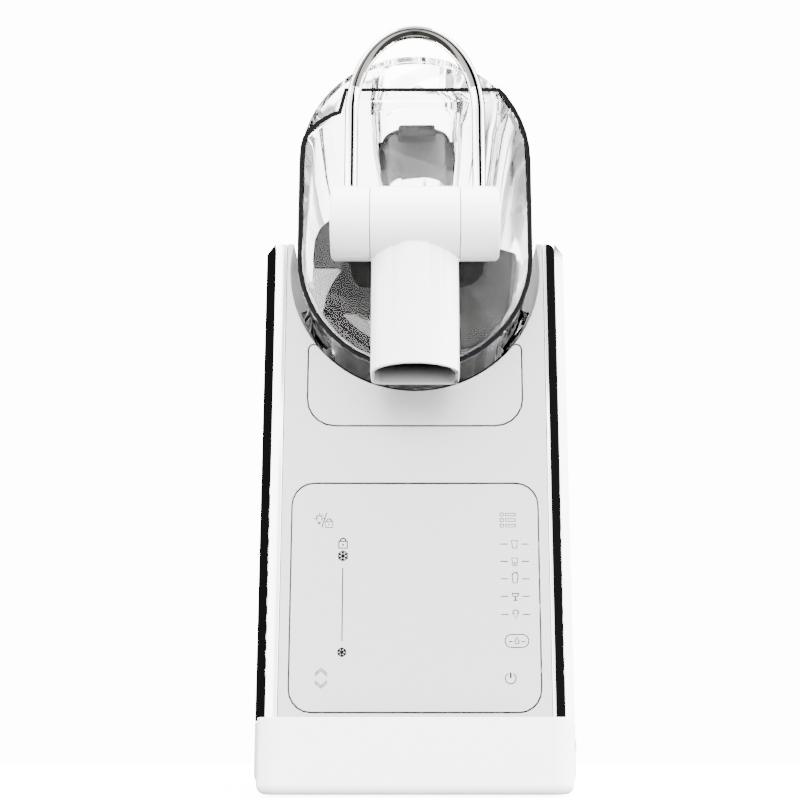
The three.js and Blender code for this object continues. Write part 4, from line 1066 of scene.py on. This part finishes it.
start_work()
hoop_line = bpy.data.curves.new("handle_hoop", "CURVE")
hoop_line.dimensions = "3D"
tube_radius, hoop_top, hoop_half = 4, 452, 38
hoop_line.bevel_depth = tube_radius * mm
hoop_line.bevel_resolution = 14
hoop_line.use_fill_caps = True
bow_low, bow_rise, bow_steps = tap_z + 70, hoop_top - tube_radius - tap_z - 70, 72
leg = [tap_z + 12 + 58 * i / 6 for i in range(6)]
route = [(hoop_half, z) for z in leg]
for i in range(bow_steps + 1):
    turn = math.pi * i / bow_steps
    route.append((hoop_half * math.cos(turn), bow_low + bow_rise * math.sin(turn)))
route += [(-hoop_half, z) for z in reversed(leg)]
spline = hoop_line.splines.new("POLY")
spline.points.add(len(route) - 1)
for knot, (x, z) in zip(spline.points, route):
    knot.co = (x * mm, tap_y * mm, z * mm, 1)
hoop = bpy.data.objects.new("handle_hoop", hoop_line)
bpy.context.collection.objects.link(hoop)
take_up(hoop)
bpy.ops.object.convert(target="MESH")
hoop = bpy.context.object
soften_edges(hoop, 0, smooth_under=60)
# A grey band painted along the inner front of the bow, above 410 mm, is a painted reflection.
painted_reflection_band = hoop.data.attributes.new("painted_reflection_band", "FLOAT", "FACE")
for face in hoop.data.polygons:
    x, y, z = face.center / mm
    off_line = (math.hypot(x / hoop_half, (z - bow_low) / bow_rise) - 1) * 45
    on_reflection_band = z > 410 and y < tap_y and -3.4 < off_line < 1.6
    painted_reflection_band.data[face.index].value = 1.0 if on_reflection_band else 0.0
hoop_chrome = polished("chromed tube with painted reflections", 0.93, (0.02, 0.04), (40, 40, 40))
past, tone = dark_beyond(hoop_chrome, "Z", 0.3, 0.01, (0.095, 0.09, 0.086))
hoop_tree = hoop_chrome.node_tree
marked = add_node(hoop_tree, "ShaderNodeAttribute", attribute_name="painted_reflection_band")
hoop_tree.links.new(marked.outputs["Fac"], tone.inputs["Factor"])
# Painted dark reflection: the chrome's colour goes near black where the tube is seen edge on.
slant = add_node(hoop_tree, "ShaderNodeLayerWeight", in_Blend=0.5)
painted_dark_rim = link_edge(hoop_tree, slant.outputs["Facing"], 0.62, 0.8)
link_tone(hoop_tree, painted_dark_rim.outputs[0], None, grey(0.01))
put_on(hoop, hoop_chrome, "lever", "chrome", "handle")


# ------------------------------------------------------------------ inside: drive and cooling unit
# What is behind the panels: gear motor and gears, the black compressor on its plate, the finned
# condenser with its fan, copper pipes, and two green circuit boards.

copper = bare_metal("drawn copper", (0.78, 0.42, 0.27), (0.6, 0.28, 0.16), (0.4, 0.25), (300, 300, 300))
aluminium = bare_metal("plain aluminium", grey(0.7), grey(0.55), (0.45, 0.32), (80, 80, 1200))
black_paint = moulded("black enamel", grey(0.006), grey(0.004), (0.35, 0.22), 0.2, 0.00005, 600, 30, 0.3)
board_green = moulded("solder mask", (0.02, 0.12, 0.05), (0.012, 0.085, 0.035), (0.4, 0.3), 0.3,
                      0.00003, 900, 120, 0.2)
for node, name, finish, body, slot, rounding, under in (
    ("gearbox_housing", "gear_case", dark_grey, "housing", "dark_grey", 0.4, 34),
    ("gear_motor", "gear_motor_can", brushed_steel, "housing", "steel", 0.5, 34),
    ("motor_pinion", "motor_pinion_cut", brushed_steel, "pinion", "steel", 0.15, 30),
    ("drive_gear", "drive_wheel", light_grey, "auger_drive", "light_grey", 0.2, 30),
    ("drive_shaft", "drive_shaft_ground", brushed_steel, "auger_drive", "steel", 0.3, 34),
    ("front_bushing", "front_bush", light_grey, "housing", "light_grey", 0.3, 34),
    ("rear_bearing", "rear_bearing_ring", brushed_steel, "housing", "steel", 0.4, 34),
    ("evaporator_coil", "cold_coil", copper, "housing", "copper", 0, 80),
    ("compressor", "compressor_shell", black_paint, "housing", "black_paint", 0, 40),
    ("compressor_plate", "compressor_base", brushed_steel, "housing", "steel", 0.4, 34),
    ("drier_filter", "drier_can", copper, "housing", "copper", 0.4, 50),
    ("discharge_pipe", "hot_gas_pipe", copper, "housing", "copper", 0, 80),
    ("suction_pipe", "return_pipe", copper, "housing", "copper", 0, 80),
    ("liquid_line", "capillary_pipe", copper, "housing", "copper", 0, 80),
    ("fan_frame", "fan_housing", black_plastic, "housing", "black_plastic", 0.5, 34),
    ("fan_rotor", "fan_wheel", black_plastic, "fan", "black_plastic", 0, 34),
    ("control_board", "touch_circuit_board", board_green, "housing", "circuit_board", 0, 34),
    ("power_board", "power_circuit_board", board_green, "housing", "circuit_board", 0.2, 34),
    ("condenser", "condenser_core", aluminium, "housing", "aluminium", 0, 34),
):
    follow_solid(node, name, finish, body, slot, rounding, 2, 40, under, rounding > 0)

# The condenser's fins are thin sheets pressed over the pipes, one bent lip to each.
fin = new_block("condenser_fins", (-75.15, -23.2, 50), (-74.85, 1.2, 198))
faces_where(fin, lambda at, out: abs(out.y) > 0.9)
bpy.ops.mesh.extrude_region_move(TRANSFORM_OT_translate={"value": (0.5 * mm, 0, 0)})
bpy.ops.object.mode_set(mode="OBJECT")
stack = fin.modifiers.new("fin stack", "ARRAY")
stack.use_relative_offset = False
stack.use_constant_offset = True
stack.constant_offset_displace = (2.5 * mm, 0, 0)
stack.count = 61
take_up(fin)
bpy.ops.object.modifier_apply(modifier=stack.name)
put_on(fin, aluminium, "housing", "aluminium")
